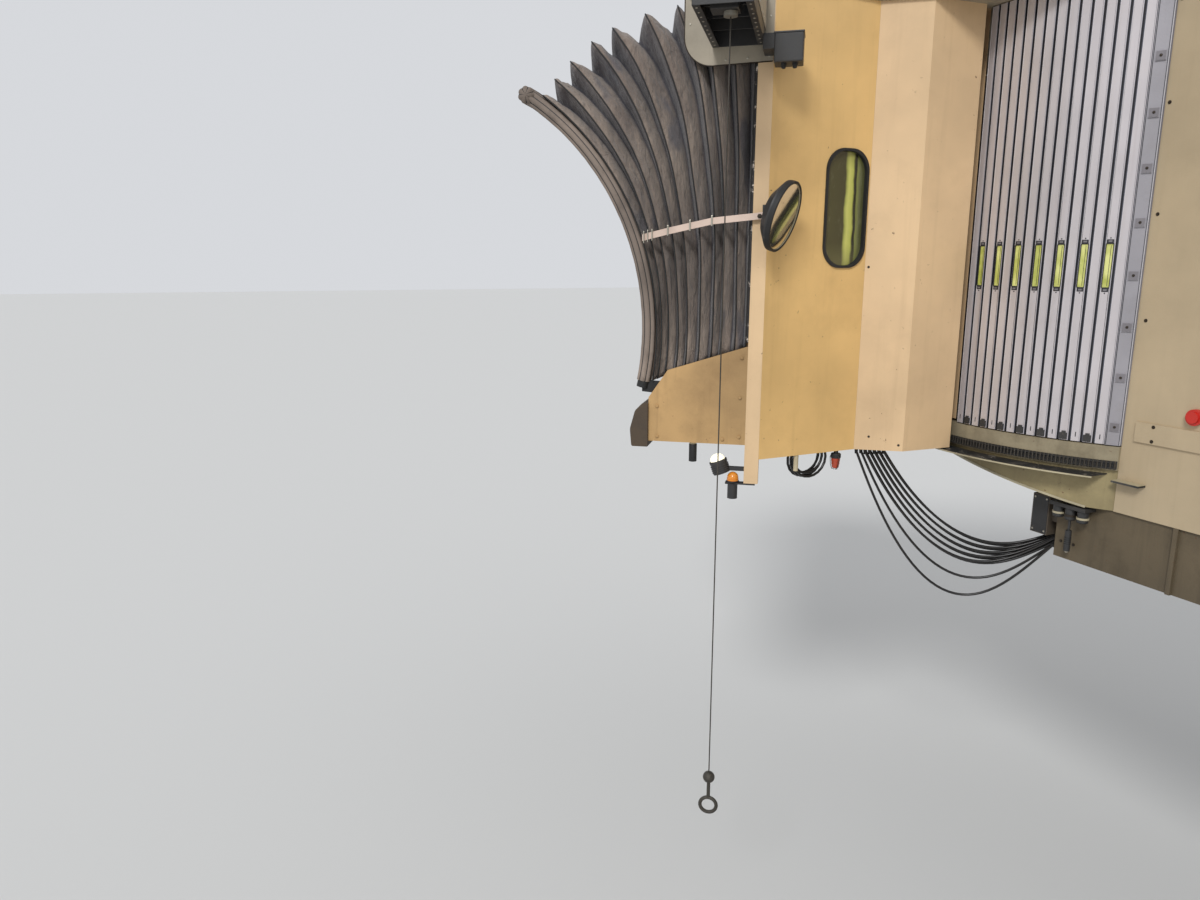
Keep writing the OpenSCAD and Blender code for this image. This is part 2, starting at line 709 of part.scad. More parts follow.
module tube(path, r, n = 8) {
    m = len(path);
    polyhedron(tube_pts(path, r, n), concat([[for (j = [0:n - 1]) j]],
        [for (k = [0:m - 2]) for (j = [0:n - 1]) [k*n + j, k*n + n + j, k*n + n + (j + 1)%n,
            k*n + (j + 1)%n]],
        [[for (j = [n - 1:-1:0]) (m - 1)*n + j]]), convexity = 6);
}

function cab_pt(x, y, z) = [x*cos(cab_turn) - y*sin(cab_turn), x*sin(cab_turn) + y*cos(cab_turn), z];
// straight out of the gland at both ends, and a sag between
function sag(a, b, drop, n) = concat([a], [for (i = [0:n]) let (t = i/n)
    a - [0, 0, 60] + (b + [60, 0, 0] - a + [0, 0, 60])*t - [0, 0, 4*drop*t*(1 - t)]], [b]);

module cable_bundle() {
    // seven side by side, and five more on top of them
    color([0.07, 0.07, 0.07]) at_pivot() for (i = [0:11]) let (top = i > 6 ? 1 : 0, k = i - 5*top)
        tube(sag(cab_pt(post_x - 695 - 34*k + 4*top, box_a[1] - 95 - 13*k + 40*top, box_bot - e),
            [girder_front + e, outer_half - 45 - 32*k + 8*top, girder_bot + 60 + 16*k + 28*top],
            k < 2 ? 760 - 140*k : 552 - 26*k, 7), cable_r);
}

module cable_coil() {
    c = [post_x - 330, front_half - 380];
    r = 134;
    color([0.07, 0.07, 0.07]) at_cab() translate([c[0], c[1], -200 - e - cable_r - r]) rotate(wall_dir)
        tube([for (k = [0:24]) let (a = 90 + 30*k) [r*cos(a), 2.5*k - 30, r*sin(a)]], cable_r);
}

// Canopy between the cab and the aircraft

function front_x(z) = hull_c[0] - sqrt(pow(hull_r + 2*bow_r + bow_clear, 2) - pow(z - hull_c[1], 2));
function fold_foot(t) = 515 - 235*t;
function fold_head(t) = canopy_top - (canopy_top - bow_top)*pow(t, 3.4);
// a point of a fold line, from its foot to its head
function fold_at(t, s) = let (x = front_x(fold_foot(1) + (bow_top - fold_foot(1))*s))
    [canopy_x + (x - canopy_x)*t, fold_foot(t) + (fold_head(t) - fold_foot(t))*s];
function canopy_row(t, d, half) = concat(
    [for (s = [0:0.125:1]) let (q = fold_at(t, s)) [q[0], half - d*min(1, 0.25 + 2*s),
        q[1] - d*0.75*pow(s, 6)]],
    [for (s = [1:-0.125:0]) let (q = fold_at(t, s)) [q[0], -half + d*min(1, 0.25 + 2*s),
        q[1] - d*0.75*pow(s, 6)]]);

module canopy() {
    n = 2*canopy_folds;
    m = 18;
    rows = [for (i = [0:n]) canopy_row(i/n, (i%2)*fold_depth, canopy_half)];
    inner = [for (i = [0:n]) canopy_row(i/n, (i%2)*fold_depth + 14, canopy_half)];
    pts = concat([for (r = rows) each r], [for (r = inner) each r]);
    o = (n + 1)*m;
    color([0.45, 0.42, 0.40]) at_cab() {
        polyhedron(pts, [for (f = concat(
            [for (i = [0:n - 1]) for (j = [0:m - 2]) each [[i*m + j, i*m + j + 1, (i + 1)*m + j + 1],
                [i*m + j, (i + 1)*m + j + 1, (i + 1)*m + j]]],
            [for (i = [0:n - 1]) for (j = [0:m - 2]) each [[o + i*m + j, o + (i + 1)*m + j + 1,
                o + i*m + j + 1],
                [o + i*m + j, o + (i + 1)*m + j, o + (i + 1)*m + j + 1]]],
            [for (j = [0:m - 2]) each [[j, o + j, o + j + 1], [j, o + j + 1, j + 1]]],
            [for (j = [0:m - 2]) let (k = n*m) each [[k + j, k + j + 1, o + k + j + 1], [k + j,
                o + k + j + 1, o + k + j]]],
            [for (i = [0:n - 1]) each [[i*m, (i + 1)*m, o + (i + 1)*m], [i*m, o + (i + 1)*m, o + i*m]]],
            [for (i = [0:n - 1]) let (k = m - 1) each [[i*m + k, o + i*m + k, o + (i + 1)*m + k],
                [i*m + k, o + (i + 1)*m + k, (i + 1)*m + k]]])) [f[2], f[1], f[0]]], convexity = 12);
        // fixing strips on the posts
        both_sides() bar(post_x + post_w + e, canopy_x + 8, canopy_half - 30, canopy_half - 1, 515, 2700);
    }
}

module canopy_strap() {
    color([0.85, 0.80, 0.74]) at_cab() both_sides() translate([post_x + 20, front_half + 30, 1380])
        rotate([0, 9.5, 0]) {
        bar(0, strap_len, 0, 6, -22, 22);
        translate([30, -30 + e, 0]) rotate([-90, 0, 0]) cylinder(h = 45, r = 9, $fn = 24);
    }
}

module canopy_bow() {
    r = hull_r + bow_r;
    y = canopy_half - 40;
    foot = [hull_c[0] - r*cos(bow_start), hull_c[1] + r*sin(bow_start)];
    color([0.30, 0.30, 0.30]) at_cab() {
        both_sides() {
            translate([hull_c[0], y, hull_c[1]]) rotate([90, 0, 0]) rotate(180 - bow_end)
                rotate_extrude(angle = bow_end - bow_start, $fn = 180) translate([r, 0])
                    circle(bow_r, $fn = 24);
            // arm to the hinge pin
            translate([0, y + 20, 0]) rotate([90, 0, 0]) linear_extrude(40) difference() {
                union() {
                    polygon([pivot + [0, 45], pivot + [0, -45], foot + [0, -30], foot + [0, 50]]);
                    translate(pivot) circle(45, $fn = 48);
                }
                translate(pivot) circle(pin_r + 0.08, $fn = 48);
            }
        }
        translate([hull_c[0] - r*cos(bow_end), 0, bow_top]) rotate([90, 0, 0])
            cylinder(h = 2*y + 2*bow_r, r = bow_r + 4, center = true, $fn = 48);
    }
}

base_plate();
terminal_column();
terminal_floor();
terminal_walls();
terminal_roof();
inner_floor();
inner_walls();
inner_roof();
outer_floor();
outer_walls();
outer_roof();
portal_frames();
trim_bands();
girders();
ring();
rack();
rim_beams();
edge_sheet();
lift_columns();
lift_rods();
truck();
wheel_hubs();
tyres();
cable_bracket();
plug_rail();
red_button();
curtain_strips();
cab_floor();
cab_roof();
front_posts();
side_walls();
window_seals();
window_panes();
curtain_boxes();
closure_panels();
bumper();
hood();
hoist_box();
hoist_wire();
hoist_hook();
mirror_body();
mirror_glass();
floodlight();
beacon_holder();
beacon();
marker_lamp();
drain_stubs();
king_pin();
curtain_left();
curtain_right();
cable_bundle();
cable_coil();
canopy();
canopy_strap();
canopy_bow();
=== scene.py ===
import bmesh
import bpy
import math
from mathutils import Matrix, Vector, noise


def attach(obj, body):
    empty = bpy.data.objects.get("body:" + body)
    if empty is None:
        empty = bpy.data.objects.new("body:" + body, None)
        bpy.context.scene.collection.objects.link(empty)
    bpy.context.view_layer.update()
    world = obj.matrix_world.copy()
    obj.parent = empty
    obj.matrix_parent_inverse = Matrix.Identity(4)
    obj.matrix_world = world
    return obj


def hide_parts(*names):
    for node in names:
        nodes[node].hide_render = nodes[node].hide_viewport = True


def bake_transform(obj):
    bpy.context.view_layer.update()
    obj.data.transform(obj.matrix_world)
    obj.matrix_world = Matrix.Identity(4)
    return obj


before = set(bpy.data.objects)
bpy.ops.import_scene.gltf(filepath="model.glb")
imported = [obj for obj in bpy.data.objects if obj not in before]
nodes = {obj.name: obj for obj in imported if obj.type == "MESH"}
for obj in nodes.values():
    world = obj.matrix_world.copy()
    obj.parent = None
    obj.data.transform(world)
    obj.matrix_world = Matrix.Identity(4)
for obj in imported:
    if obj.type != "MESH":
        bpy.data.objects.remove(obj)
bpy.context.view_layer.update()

# Frames: the cab's own frame has x out of its front opening, y to its left and z from its floor

FLOOR_Z = 3.9
PIVOT = Vector((19.0, 0.0, FLOOR_Z))
ROUND = Matrix.Translation(PIVOT)
CAB_TURN = math.radians(52.5)
CAB = ROUND @ Matrix.Rotation(CAB_TURN, 4, "Z")
POST_X, FRONT_HALF, BOX_HALF = 2.93, 1.85, 1.31
WALL_TURN = math.atan2(-0.54, -0.67)
WALL = CAB @ Matrix.Translation((POST_X, FRONT_HALF, 0)) @ Matrix.Rotation(WALL_TURN, 4, "Z")
MIRROR_Y = Matrix.Scale(-1, 4, (0, 1, 0))
RIGHT_WALL = CAB @ MIRROR_Y @ CAB.inverted() @ WALL
TUNNEL_HALF, GIRDER_HALF = 1.5, 1.48

# A fitting stands this far off the face that carries it

OFF_FACE = 0.0003

# Camera

camera = bpy.data.objects.new("camera", bpy.data.cameras.new("camera"))
bpy.context.scene.collection.objects.link(camera)
camera.data.lens, camera.data.sensor_width, camera.data.clip_end = 26.0, 36.0, 500.0
camera.location = (14.245, 6.887, 4.95)
look, pitch = Vector((0.917, -0.399, 0.0)).normalized(), math.radians(12.0)
aim = look * math.cos(pitch) + Vector((0, 0, -math.sin(pitch)))
camera.rotation_euler = aim.to_track_quat("-Z", "Y").to_euler()
bpy.context.scene.camera = camera

# Places and mesh helpers


def moved(x, y, z):
    return Matrix.Translation((x, y, z))


def rotated(angle, axis):
    return Matrix.Rotation(angle, 4, axis)


def in_cab(x, y, z):
    """A point given in the cab's frame."""
    return CAB @ Vector((x, y, z))


def circle_points(sides, radius=1.0):
    """Evenly spaced points of a circle."""
    turns = [2 * math.pi * k / sides for k in range(sides)]
    return [(radius * math.cos(a), radius * math.sin(a)) for a in turns]


def band_faces(rings, sides):
    """Faces between rings of points that follow each other."""
    return [(k * sides + j, k * sides + (j + 1) % sides, (k + 1) * sides + (j + 1) % sides,
             (k + 1) * sides + j)
            for k in range(rings - 1) for j in range(sides)]


def piece(name, verts, faces, place=Matrix.Identity(4), smooth=False):
    """A closed mesh in the row frame, its normals turned outwards."""
    mesh = bpy.data.meshes.new(name)
    mesh.from_pydata([place @ Vector(v) for v in verts], [], faces)
    tidy(mesh, smooth)
    obj = bpy.data.objects.new(name, mesh)
    bpy.context.scene.collection.objects.link(obj)
    return obj


def tidy(mesh, smooth=False):
    """Joins points that coincide and turns all faces outwards."""
    bm = bmesh.new()
    bm.from_mesh(mesh)
    bmesh.ops.remove_doubles(bm, verts=bm.verts, dist=1e-5)
    bmesh.ops.recalc_face_normals(bm, faces=bm.faces)
    for f in bm.faces:
        f.smooth = smooth
    bm.to_mesh(mesh)
    bm.free()


def joined(name, parts):
    """One object of several, each keeping its own material."""
    bm, mats = bmesh.new(), []
    for part in parts:
        start = len(bm.faces)
        bm.from_mesh(part.data)
        bm.faces.ensure_lookup_table()
        own = list(part.data.materials)
        for f in bm.faces[start:]:
            m = own[f.material_index]
            if m not in mats:
                mats.append(m)
            f.material_index = mats.index(m)
    mesh = bpy.data.meshes.new(name)
    bm.to_mesh(mesh)
    bm.free()
    for m in mats:
        mesh.materials.append(m)
    for part in parts:
        bpy.data.objects.remove(part)
    obj = bpy.data.objects.new(name, mesh)
    bpy.context.scene.collection.objects.link(obj)
    return obj


def prism(name, outline, z0, z1, place=Matrix.Identity(4), bevel=0.0, steps=2):
    """A flat outline raised from z0 to z1, with its edges rounded."""
    n = len(outline)
    verts = [(x, y, z0) for x, y in outline] + [(x, y, z1) for x, y in outline]
    faces = [tuple(range(n))[::-1], tuple(range(n, 2 * n))]
    faces += [(i, (i + 1) % n, n + (i + 1) % n, n + i) for i in range(n)]
    obj = piece(name, verts, faces)
    if bevel:
        bm = bmesh.new()
        bm.from_mesh(obj.data)
        bmesh.ops.bevel(bm, geom=bm.edges[:], offset=bevel, segments=steps, profile=0.6, affect="EDGES",
                        clamp_overlap=True)
        bm.to_mesh(obj.data)
        bm.free()
    obj.data.transform(place)
    tidy(obj.data)
    return obj


def block(name, x0, x1, y0, y1, z0, z1, place=Matrix.Identity(4), bevel=0.003):
    """A box between two corners, with its edges rounded."""
    return prism(name, [(x0, y0), (x1, y0), (x1, y1), (x0, y1)], z0, z1, place, bevel)


def turned(name, profile, place=Matrix.Identity(4), sides=32, smooth=True):
    """A profile of (radius, height) turned about z."""
    verts, rings = [], []
    for r, z in profile:
        if r < 1e-6:
            rings.append([len(verts)])
            verts.append((0, 0, z))
        else:
            rings.append(list(range(len(verts), len(verts) + sides)))
            verts += [(x, y, z) for x, y in circle_points(sides, r)]
    faces = []
    for a, b in zip(rings, rings[1:]):
        for k in range(sides):
            q = [a[k % len(a)], a[(k + 1) % len(a)], b[(k + 1) % len(b)], b[k % len(b)]]
            q = list(dict.fromkeys(q))
            if len(q) > 2:
                faces.append(q)
    if len(rings[0]) > 1:
        faces.append(rings[0][::-1])
    if len(rings[-1]) > 1:
        faces.append(rings[-1])
    obj = piece(name, verts, faces, place, smooth)
    if smooth:
        sharp_edges(obj)
    return obj


def sharp_edges(obj, angle=35):
    """Keeps edges of more than the angle sharp in a smooth piece."""
    bm = bmesh.new()
    bm.from_mesh(obj.data)
    for e in bm.edges:
        e.smooth = e.calc_face_angle(0.0) < math.radians(angle)
    bm.to_mesh(obj.data)
    bm.free()


def tangents_of(path):
    last = len(path) - 1
    return [(path[min(k + 1, last)] - path[max(k - 1, 0)]).normalized() for k in range(len(path))]


def swept(name, path, radius, sides):
    """A round bar along a path."""
    path = [Vector(p) for p in path]
    tangents = tangents_of(path)
    side = tangents[0].orthogonal().normalized()
    verts = []
    for p, t in zip(path, tangents):
        side = (side - t * side.dot(t)).normalized()
        other = t.cross(side)
        verts += [p + radius * (x * side + y * other) for x, y in circle_points(sides)]
    faces = band_faces(len(path), sides)
    faces += [list(range(sides))[::-1], [(len(path) - 1) * sides + j for j in range(sides)]]
    return piece(name, verts, faces, smooth=True)


def hoop(name, section, place, sides):
    """A closed section of (radius, height) carried round z."""
    n = len(section)
    verts = [(r * x, r * y, z) for x, y in circle_points(sides) for r, z in section]
    faces = [(k * n + j, k * n + (j + 1) % n, (k + 1) % sides * n + (j + 1) % n, (k + 1) % sides * n + j)
             for k in range(sides) for j in range(n)]
    obj = piece(name, verts, faces, place, True)
    sharp_edges(obj)
    return obj


def ribbon(name, path, wide, thick):
    """An upright flat band along a path."""
    path = [Vector(p) for p in path]
    up = Vector((0, 0, 1))
    verts = []
    for t, p in zip(tangents_of(path), path):
        rise = (up - t * up.dot(t)).normalized()
        side = t.cross(rise)
        for a, b in ((-1, -1), (1, -1), (1, 1), (-1, 1)):
            verts.append(p + a * wide / 2 * rise + b * thick / 2 * side)
    faces = band_faces(len(path), 4)
    faces += [[0, 1, 2, 3], [len(verts) - 4 + j for j in range(4)]]
    return piece(name, verts, faces)


def dress(obj, *mats):
    """Gives a piece its paint, and returns it."""
    obj.data.materials.clear()
    for m in mats:
        obj.data.materials.append(m)
    return obj


# Node trees that repeat a piece


def tree_of(name, sockets):
    """A tree with geometry in and out, and one input for each of the sockets."""
    tree = bpy.data.node_groups.new(name, "GeometryNodeTree")
    for direction in ("INPUT", "OUTPUT"):
        tree.interface.new_socket("Geometry", in_out=direction, socket_type="NodeSocketGeometry")
    for label, kind in sockets:
        tree.interface.new_socket(label, in_out="INPUT", socket_type=kind)
    return tree, tree.nodes.new("NodeGroupInput").outputs, tree.nodes.new("NodeGroupOutput").inputs


def add(tree, kind, inputs=(), **props):
    """A node with its properties and inputs set, each input from a value or another node's socket."""
    node = tree.nodes.new(kind)
    for key, value in props.items():
        setattr(node, key, value)
    for key, value in dict(inputs).items():
        if isinstance(value, bpy.types.NodeSocket):
            tree.links.new(value, node.inputs[key])
        else:
            node.inputs[key].default_value = value
    return node


def finish_tree(tree, instances, given, out):
    real = add(tree, "GeometryNodeRealizeInstances", {"Geometry": instances})
    done = add(tree, "GeometryNodeSetMaterial", {"Geometry": real.outputs[0], "Material": given["Material"]})
    tree.links.new(done.outputs[0], out["Geometry"])


def arc_tree():
    """The piece repeated round an upright axis: first angle, step, count and centre."""
    tree, given, out = tree_of("pieces_on_arc", [
        ("Piece", "NodeSocketObject"), ("Material", "NodeSocketMaterial"), ("First Angle", "NodeSocketFloat"),
        ("Step", "NodeSocketFloat"), ("Count", "NodeSocketInt"), ("Centre", "NodeSocketVector")])
    index = add(tree, "GeometryNodeInputIndex").outputs[0]
    swing = add(tree, "ShaderNodeMath", {0: index, 1: given["Step"]}, operation="MULTIPLY").outputs[0]
    angle = add(tree, "ShaderNodeMath", {0: swing, 1: given["First Angle"]}, operation="ADD").outputs[0]
    points = add(tree, "GeometryNodePoints", {"Count": given["Count"], "Position": given["Centre"]})
    turn = add(tree, "ShaderNodeCombineXYZ", {"Z": angle})
    shape = add(tree, "GeometryNodeObjectInfo", {"Object": given["Piece"]})
    spread = add(tree, "GeometryNodeInstanceOnPoints", {
        "Points": points.outputs[0], "Instance": shape.outputs["Geometry"], "Rotation": turn.outputs[0]})
    finish_tree(tree, spread.outputs[0], given, out)
    return tree


def place_tree():
    """The piece set on every point, turned by the point's attribute, spun about its own z and sized."""
    tree, given, out = tree_of("pieces_on_points", [
        ("Piece", "NodeSocketObject"), ("Material", "NodeSocketMaterial"), ("Size", "NodeSocketFloat"),
        ("Seed", "NodeSocketInt")])
    turn = add(tree, "GeometryNodeInputNamedAttribute", {"Name": "turn"}, data_type="FLOAT_VECTOR")
    spin = add(tree, "FunctionNodeRandomValue", {
        "Seed": given["Seed"], "Min": (0, 0, 0), "Max": (0, 0, 6.283)}, data_type="FLOAT_VECTOR")
    shape = add(tree, "GeometryNodeObjectInfo", {"Object": given["Piece"]})
    spread = add(tree, "GeometryNodeInstanceOnPoints", {
        "Points": given["Geometry"], "Instance": shape.outputs["Geometry"], "Rotation": turn.outputs[0],
        "Scale": given["Size"]})
    spun = add(tree, "GeometryNodeRotateInstances", {
        "Instances": spread.outputs[0], "Rotation": spin.outputs[0]})
    finish_tree(tree, spun.outputs[0], given, out)
    return tree


ARC, PLACES = arc_tree(), place_tree()


def grown(name, tree, base, settings):
    """The tree's result as a plain mesh."""
    obj = bpy.data.objects.new(name, base)
    bpy.context.scene.collection.objects.link(obj)
    made = obj.modifiers.new("made", "NODES")
    made.node_group = tree
    for item in tree.interface.items_tree:
        if item.in_out == "INPUT" and item.name in settings:
            made[item.identifier] = settings[item.name]
    view = bpy.context.evaluated_depsgraph_get()
    mesh = bpy.data.meshes.new_from_object(obj.evaluated_get(view))
    mesh.name = name
    obj.modifiers.clear()
    obj.data = mesh
    if "turn" in mesh.attributes:
        mesh.attributes.remove(mesh.attributes["turn"])
    return obj


def on_arc(name, shape, mat, first, step, count, place):
    """Copies of a shape round z. Without a mat they keep the shape's own paints, face by face."""
    obj = grown(name, ARC, bpy.data.meshes.new(name), {
        "Piece": shape, "Material": mat or shape.data.materials[0], "First Angle": first, "Step": step,
        "Count": count, "Centre": (0, 0, 0)})
    if not mat:
        slots = [f.material_index for f in shape.data.polygons]
        dress(obj, *shape.data.materials)
        for k, f in enumerate(obj.data.polygons):
            f.material_index = slots[k % len(slots)]
    obj.data.transform(place)
    bpy.data.objects.remove(shape)
    return obj


def on_points(name, shape, mat, spots, size=1.0, keep=False):
    """Copies of a shape at spots, each a point and the direction of the shape's z, in the row frame."""
    base = bpy.data.meshes.new(name)
    base.from_pydata([p for p, _ in spots], [], [])
    turn = base.attributes.new("turn", "FLOAT_VECTOR", "POINT")
    for k, (_, d) in enumerate(spots):
        turn.data[k].vector = Vector(d).to_track_quat("Z", "Y").to_euler()
    obj = grown(name, PLACES, base, {"Piece": shape, "Material": mat, "Size": size, "Seed": len(spots)})
    if not keep:
        bpy.data.objects.remove(shape)
    return obj


# Finishes


def rgb(r, g, b):
    """A colour as seen, 0 to 255, in the shader's linear values."""
    linear = [(c / 255 / 12.92) if c <= 10 else ((c / 255 + 0.055) / 1.055) ** 2.4 for c in (r, g, b)]
    return tuple(linear) + (1.0,)


def blank(name, rough, metal=0.0):
    """A plain material, with its node tree and its surface node."""
    mat = bpy.data.materials.new(name)
    mat.use_nodes = True
    skin = mat.node_tree.nodes["Principled BSDF"]
    skin.inputs["Roughness"].default_value = rough
    skin.inputs["Metallic"].default_value = metal
    return mat, mat.node_tree, skin


def clouds(tree, where, scale, detail=5, rough=0.6, seed=0.0):
    """Noise from 0 to 1."""
    return add(tree, "ShaderNodeTexNoise", {
        "Vector": where, "Scale": scale, "Detail": detail, "Roughness": rough, "W": seed},
        noise_dimensions="4D").outputs["Fac"]


def between(tree, value, low, high, top=1.0, bottom=0.0):
    """The value spread from low and high to bottom and top."""
    return add(tree, "ShaderNodeMapRange", {
        "Value": value, "From Min": low, "From Max": high, "To Min": bottom, "To Max": top}).outputs[0]


def mixed(tree, amount, a, b):
    """From colour a to colour b by the amount."""
    node = add(tree, "ShaderNodeMix", {"Factor": amount}, data_type="RGBA")
    for socket, value in zip(node.inputs[6:8], (a, b)):
        if isinstance(value, bpy.types.NodeSocket):
            tree.links.new(value, socket)
        else:
            socket.default_value = value
    return node.outputs[2]


def squeezed(tree, where, scale):
    """The place scaled, so that clouds become streaks."""
    return add(tree, "ShaderNodeMapping", {"Vector": where, "Scale": scale}).outputs[0]


def coat(name, colour, rough=0.5, metal=0.0, tone=0.12, grime=0.3, dirt=(70, 58, 44), streak=0.25, grain=90.0,
         bump=0.08, chips=0.0, under=(96, 62, 40), patch=2.6, seed=0.0):
    """Painted or bare metal: uneven tone, patches of grime, rain streaks, chips to what lies under, peel."""
    mat, tree, skin = blank(name, rough, metal)
    where = add(tree, "ShaderNodeTexCoord").outputs["Object"]
    light = rgb(*[min(255, c * (1 + tone * 0.5)) for c in colour])
    dark = rgb(*[c * (1 - tone) for c in colour])
    base = mixed(tree, between(tree, clouds(tree, where, 1.3, 4, 0.55, seed), 0.35, 0.65), dark, light)
    patches = between(tree, clouds(tree, where, patch, 9, 0.68, seed + 3), 0.50, 0.74, grime)
    base = mixed(tree, patches, base, rgb(*dirt))
    if streak:
        rain = clouds(tree, squeezed(tree, where, (14, 14, 0.7)), 1.0, 5, 0.6, seed + 5)
        base = mixed(tree, between(tree, rain, 0.52, 0.78, streak), base, rgb(*dirt))
    if chips:
        flakes = clouds(tree, where, 21.0, 9, 0.72, seed + 8)
        base = mixed(tree, between(tree, flakes, 0.66 - chips * 0.1, 0.675 - chips * 0.1), base, rgb(*under))
    tree.links.new(base, skin.inputs["Base Color"])
    worn = add(tree, "ShaderNodeMath", {0: patches, 1: 0.5, 2: rough}, operation="MULTIPLY_ADD").outputs[0]
    tree.links.new(worn, skin.inputs["Roughness"])
    peel = clouds(tree, where, grain, 3, 0.5, seed + 1)
    relief = add(tree, "ShaderNodeBump", {"Height": peel, "Strength": bump, "Distance": 0.01})
    tree.links.new(relief.outputs[0], skin.inputs["Normal"])
    return mat


BEIGE = coat("beige_paint", (186, 168, 138), 0.5, tone=0.06, grime=0.14, dirt=(152, 136, 110), streak=0.2)
CREAM = coat("wall_cream", (228, 188, 124), 0.42, tone=0.06, grime=0.16, dirt=(158, 122, 74), streak=0.16,
             bump=0.05, chips=0.08)
BOX = coat("box_cream", (222, 190, 148), 0.42, tone=0.06, grime=0.18, dirt=(158, 128, 92), streak=0.18,
           bump=0.05, chips=0.08, seed=2)
ROOF = coat("roof_paint", (180, 168, 146), 0.55, tone=0.06, grime=0.16, dirt=(134, 124, 104), streak=0.0,
            patch=1.4)
HOOD = coat("hood_paint", (160, 150, 132), 0.5, grime=0.3, dirt=(96, 88, 74), streak=0.3)
PANEL = coat("closure_paint", (186, 150, 100), 0.46, grime=0.4, dirt=(112, 84, 50), streak=0.4, chips=0.15)
DARK = coat("dark_paint", (46, 46, 47), 0.45, grime=0.4, dirt=(82, 76, 66), streak=0.15, chips=0.25,
            under=(110, 100, 88))
SHEET = coat("worn_sheet", (40, 41, 44), 0.4, grime=0.55, dirt=(118, 112, 102), streak=0.0, patch=6.0,
             chips=0.6, under=(170, 164, 152))
# The girders' beige paint darkened to olive brown as painted shade, with real grime, streaks and chips on it.
GIRDER_SHADE = coat("girder_paint_in_painted_shade", (98, 86, 66), 0.6, grime=0.5, dirt=(54, 46, 34), streak=0.4, chips=0.3)
SILL = coat("dirty_sill", (152, 141, 116), 0.6, grime=0.65, dirt=(84, 74, 56), streak=0.35, chips=0.3)
GREY = coat("grey_steel", (130, 130, 126), 0.5, 0.5, grime=0.4, dirt=(74, 66, 56), streak=0.3, chips=0.3)
FLOOR = coat("floor_steel", (74, 71, 68), 0.55, grime=0.5, dirt=(40, 36, 32), streak=0.0, chips=0.2)
RUBBER = coat("black_rubber", (30, 30, 30), 0.62, grime=0.4, dirt=(66, 62, 56), streak=0.0, bump=0.12)
BROWN_RUBBER = coat("brown_rubber", (70, 58, 46), 0.66, grime=0.5, dirt=(104, 88, 66), streak=0.3, bump=0.2)
CABLE = coat("cable_sheath", (24, 22, 21), 0.32, grime=0.3, dirt=(60, 54, 46), streak=0.0, grain=220.0,
             bump=0.05)
SLAT = coat("slat_aluminium", (204, 198, 200), 0.36, 0.35, tone=0.05, grime=0.16, dirt=(158, 144, 136),
            streak=0.3, grain=160.0, bump=0.04)
STRIP = coat("strip_aluminium", (160, 157, 162), 0.4, 0.35, tone=0.08, grime=0.3, dirt=(112, 104, 98),
             streak=0.3)
CLIP = coat("strip_clip", (128, 124, 128), 0.45, 0.3, grime=0.4, dirt=(84, 78, 74), streak=0.0)
# The slats' shoulders beside each joint, and the fine line before it, in painted shade.
SHADE = coat("slat_shoulder_painted_shade", (104, 106, 118), 0.45, 0.25, tone=0.1, grime=0.25, dirt=(78, 74, 74),
             streak=0.15)
BOLT = coat("zinc_bolt", (184, 178, 164), 0.35, 0.7, grime=0.4, dirt=(110, 96, 76), streak=0.0)
BEAM = coat("rim_beam_paint", (152, 138, 100), 0.5, grime=0.5, dirt=(92, 80, 56), streak=0.4, chips=0.25)
BRACKET = coat("bracket_paint", (84, 75, 64), 0.55, grime=0.4, dirt=(50, 45, 38), streak=0.3, chips=0.2)
# Pale edges: wear on the ledge, painted highlight along the beams' flanges; also the pale rings on the mirror
# and the plugs.
EDGE = coat("pale_edge_and_painted_highlight", (178, 168, 140), 0.45, grime=0.5, dirt=(96, 86, 66), streak=0.0, chips=0.5)
EDGE_BAR = coat("edge_bar_paint", (34, 33, 34), 0.4, grime=0.3, streak=0.0, chips=0.9, under=(206, 196, 186),
                seed=5)
STUB = coat("stub_paint", (196, 182, 150), 0.5, grime=0.4, streak=0.2)
TREAD = coat("tyre_rubber", (34, 34, 35), 0.8, grime=0.6, dirt=(84, 78, 70), streak=0.0, grain=40.0, bump=0.4)
DARK_BOLT = coat("dark_screw", (58, 50, 42), 0.45, 0.5, grime=0.3, streak=0.0)
STRAP = coat("strap_band", (224, 200, 184), 0.45, 0.2, grime=0.3, dirt=(168, 142, 124), streak=0.0,
             grain=200.0)
HUB = coat("hub_paint", (178, 158, 84), 0.5, grime=0.5, dirt=(70, 60, 40), streak=0.2, chips=0.3)
RED = coat("red_knob", (196, 44, 34), 0.35, tone=0.06, grime=0.15, dirt=(96, 36, 26), streak=0.0)
WIRE = coat("hoist_wire", (78, 74, 68), 0.4, 0.7, grime=0.4, dirt=(40, 36, 30), streak=0.0, grain=400.0,
            bump=0.4)

finish = {
    BEIGE: "terminal_column terminal_walls inner_walls outer_walls portal_frames trim_bands lift_columns",
    CREAM: "side_walls",
    BOX: "curtain_boxes front_posts",
    ROOF: "terminal_roof inner_roof outer_roof cab_roof",
    HOOD: "hood",
    PANEL: "closure_panels",
    BRACKET: "cable_bracket",
    DARK: "rack plug_rail mirror_body beacon_holder floodlight hoist_box",
    SHEET: "edge_sheet",
    GIRDER_SHADE: "girders",
    SILL: "ring",
    BEAM: "rim_beams",
    TREAD: "tyres",
    GREY: "base_plate lift_rods truck king_pin",
    FLOOR: "terminal_floor inner_floor outer_floor cab_floor",
    RUBBER: "window_seals canopy_bow",
    BROWN_RUBBER: "bumper",
    STRIP: "curtain_strips",
    HUB: "wheel_hubs",
    STUB: "drain_stubs",
    RED: "red_button marker_lamp",
    WIRE: "hoist_wire hoist_hook",
    STRAP: "canopy_strap",
}
for mat, names in finish.items():
    for label in names.split():
        dress(nodes[label], mat)

# Cables from the cab's underside to the tunnel's girder


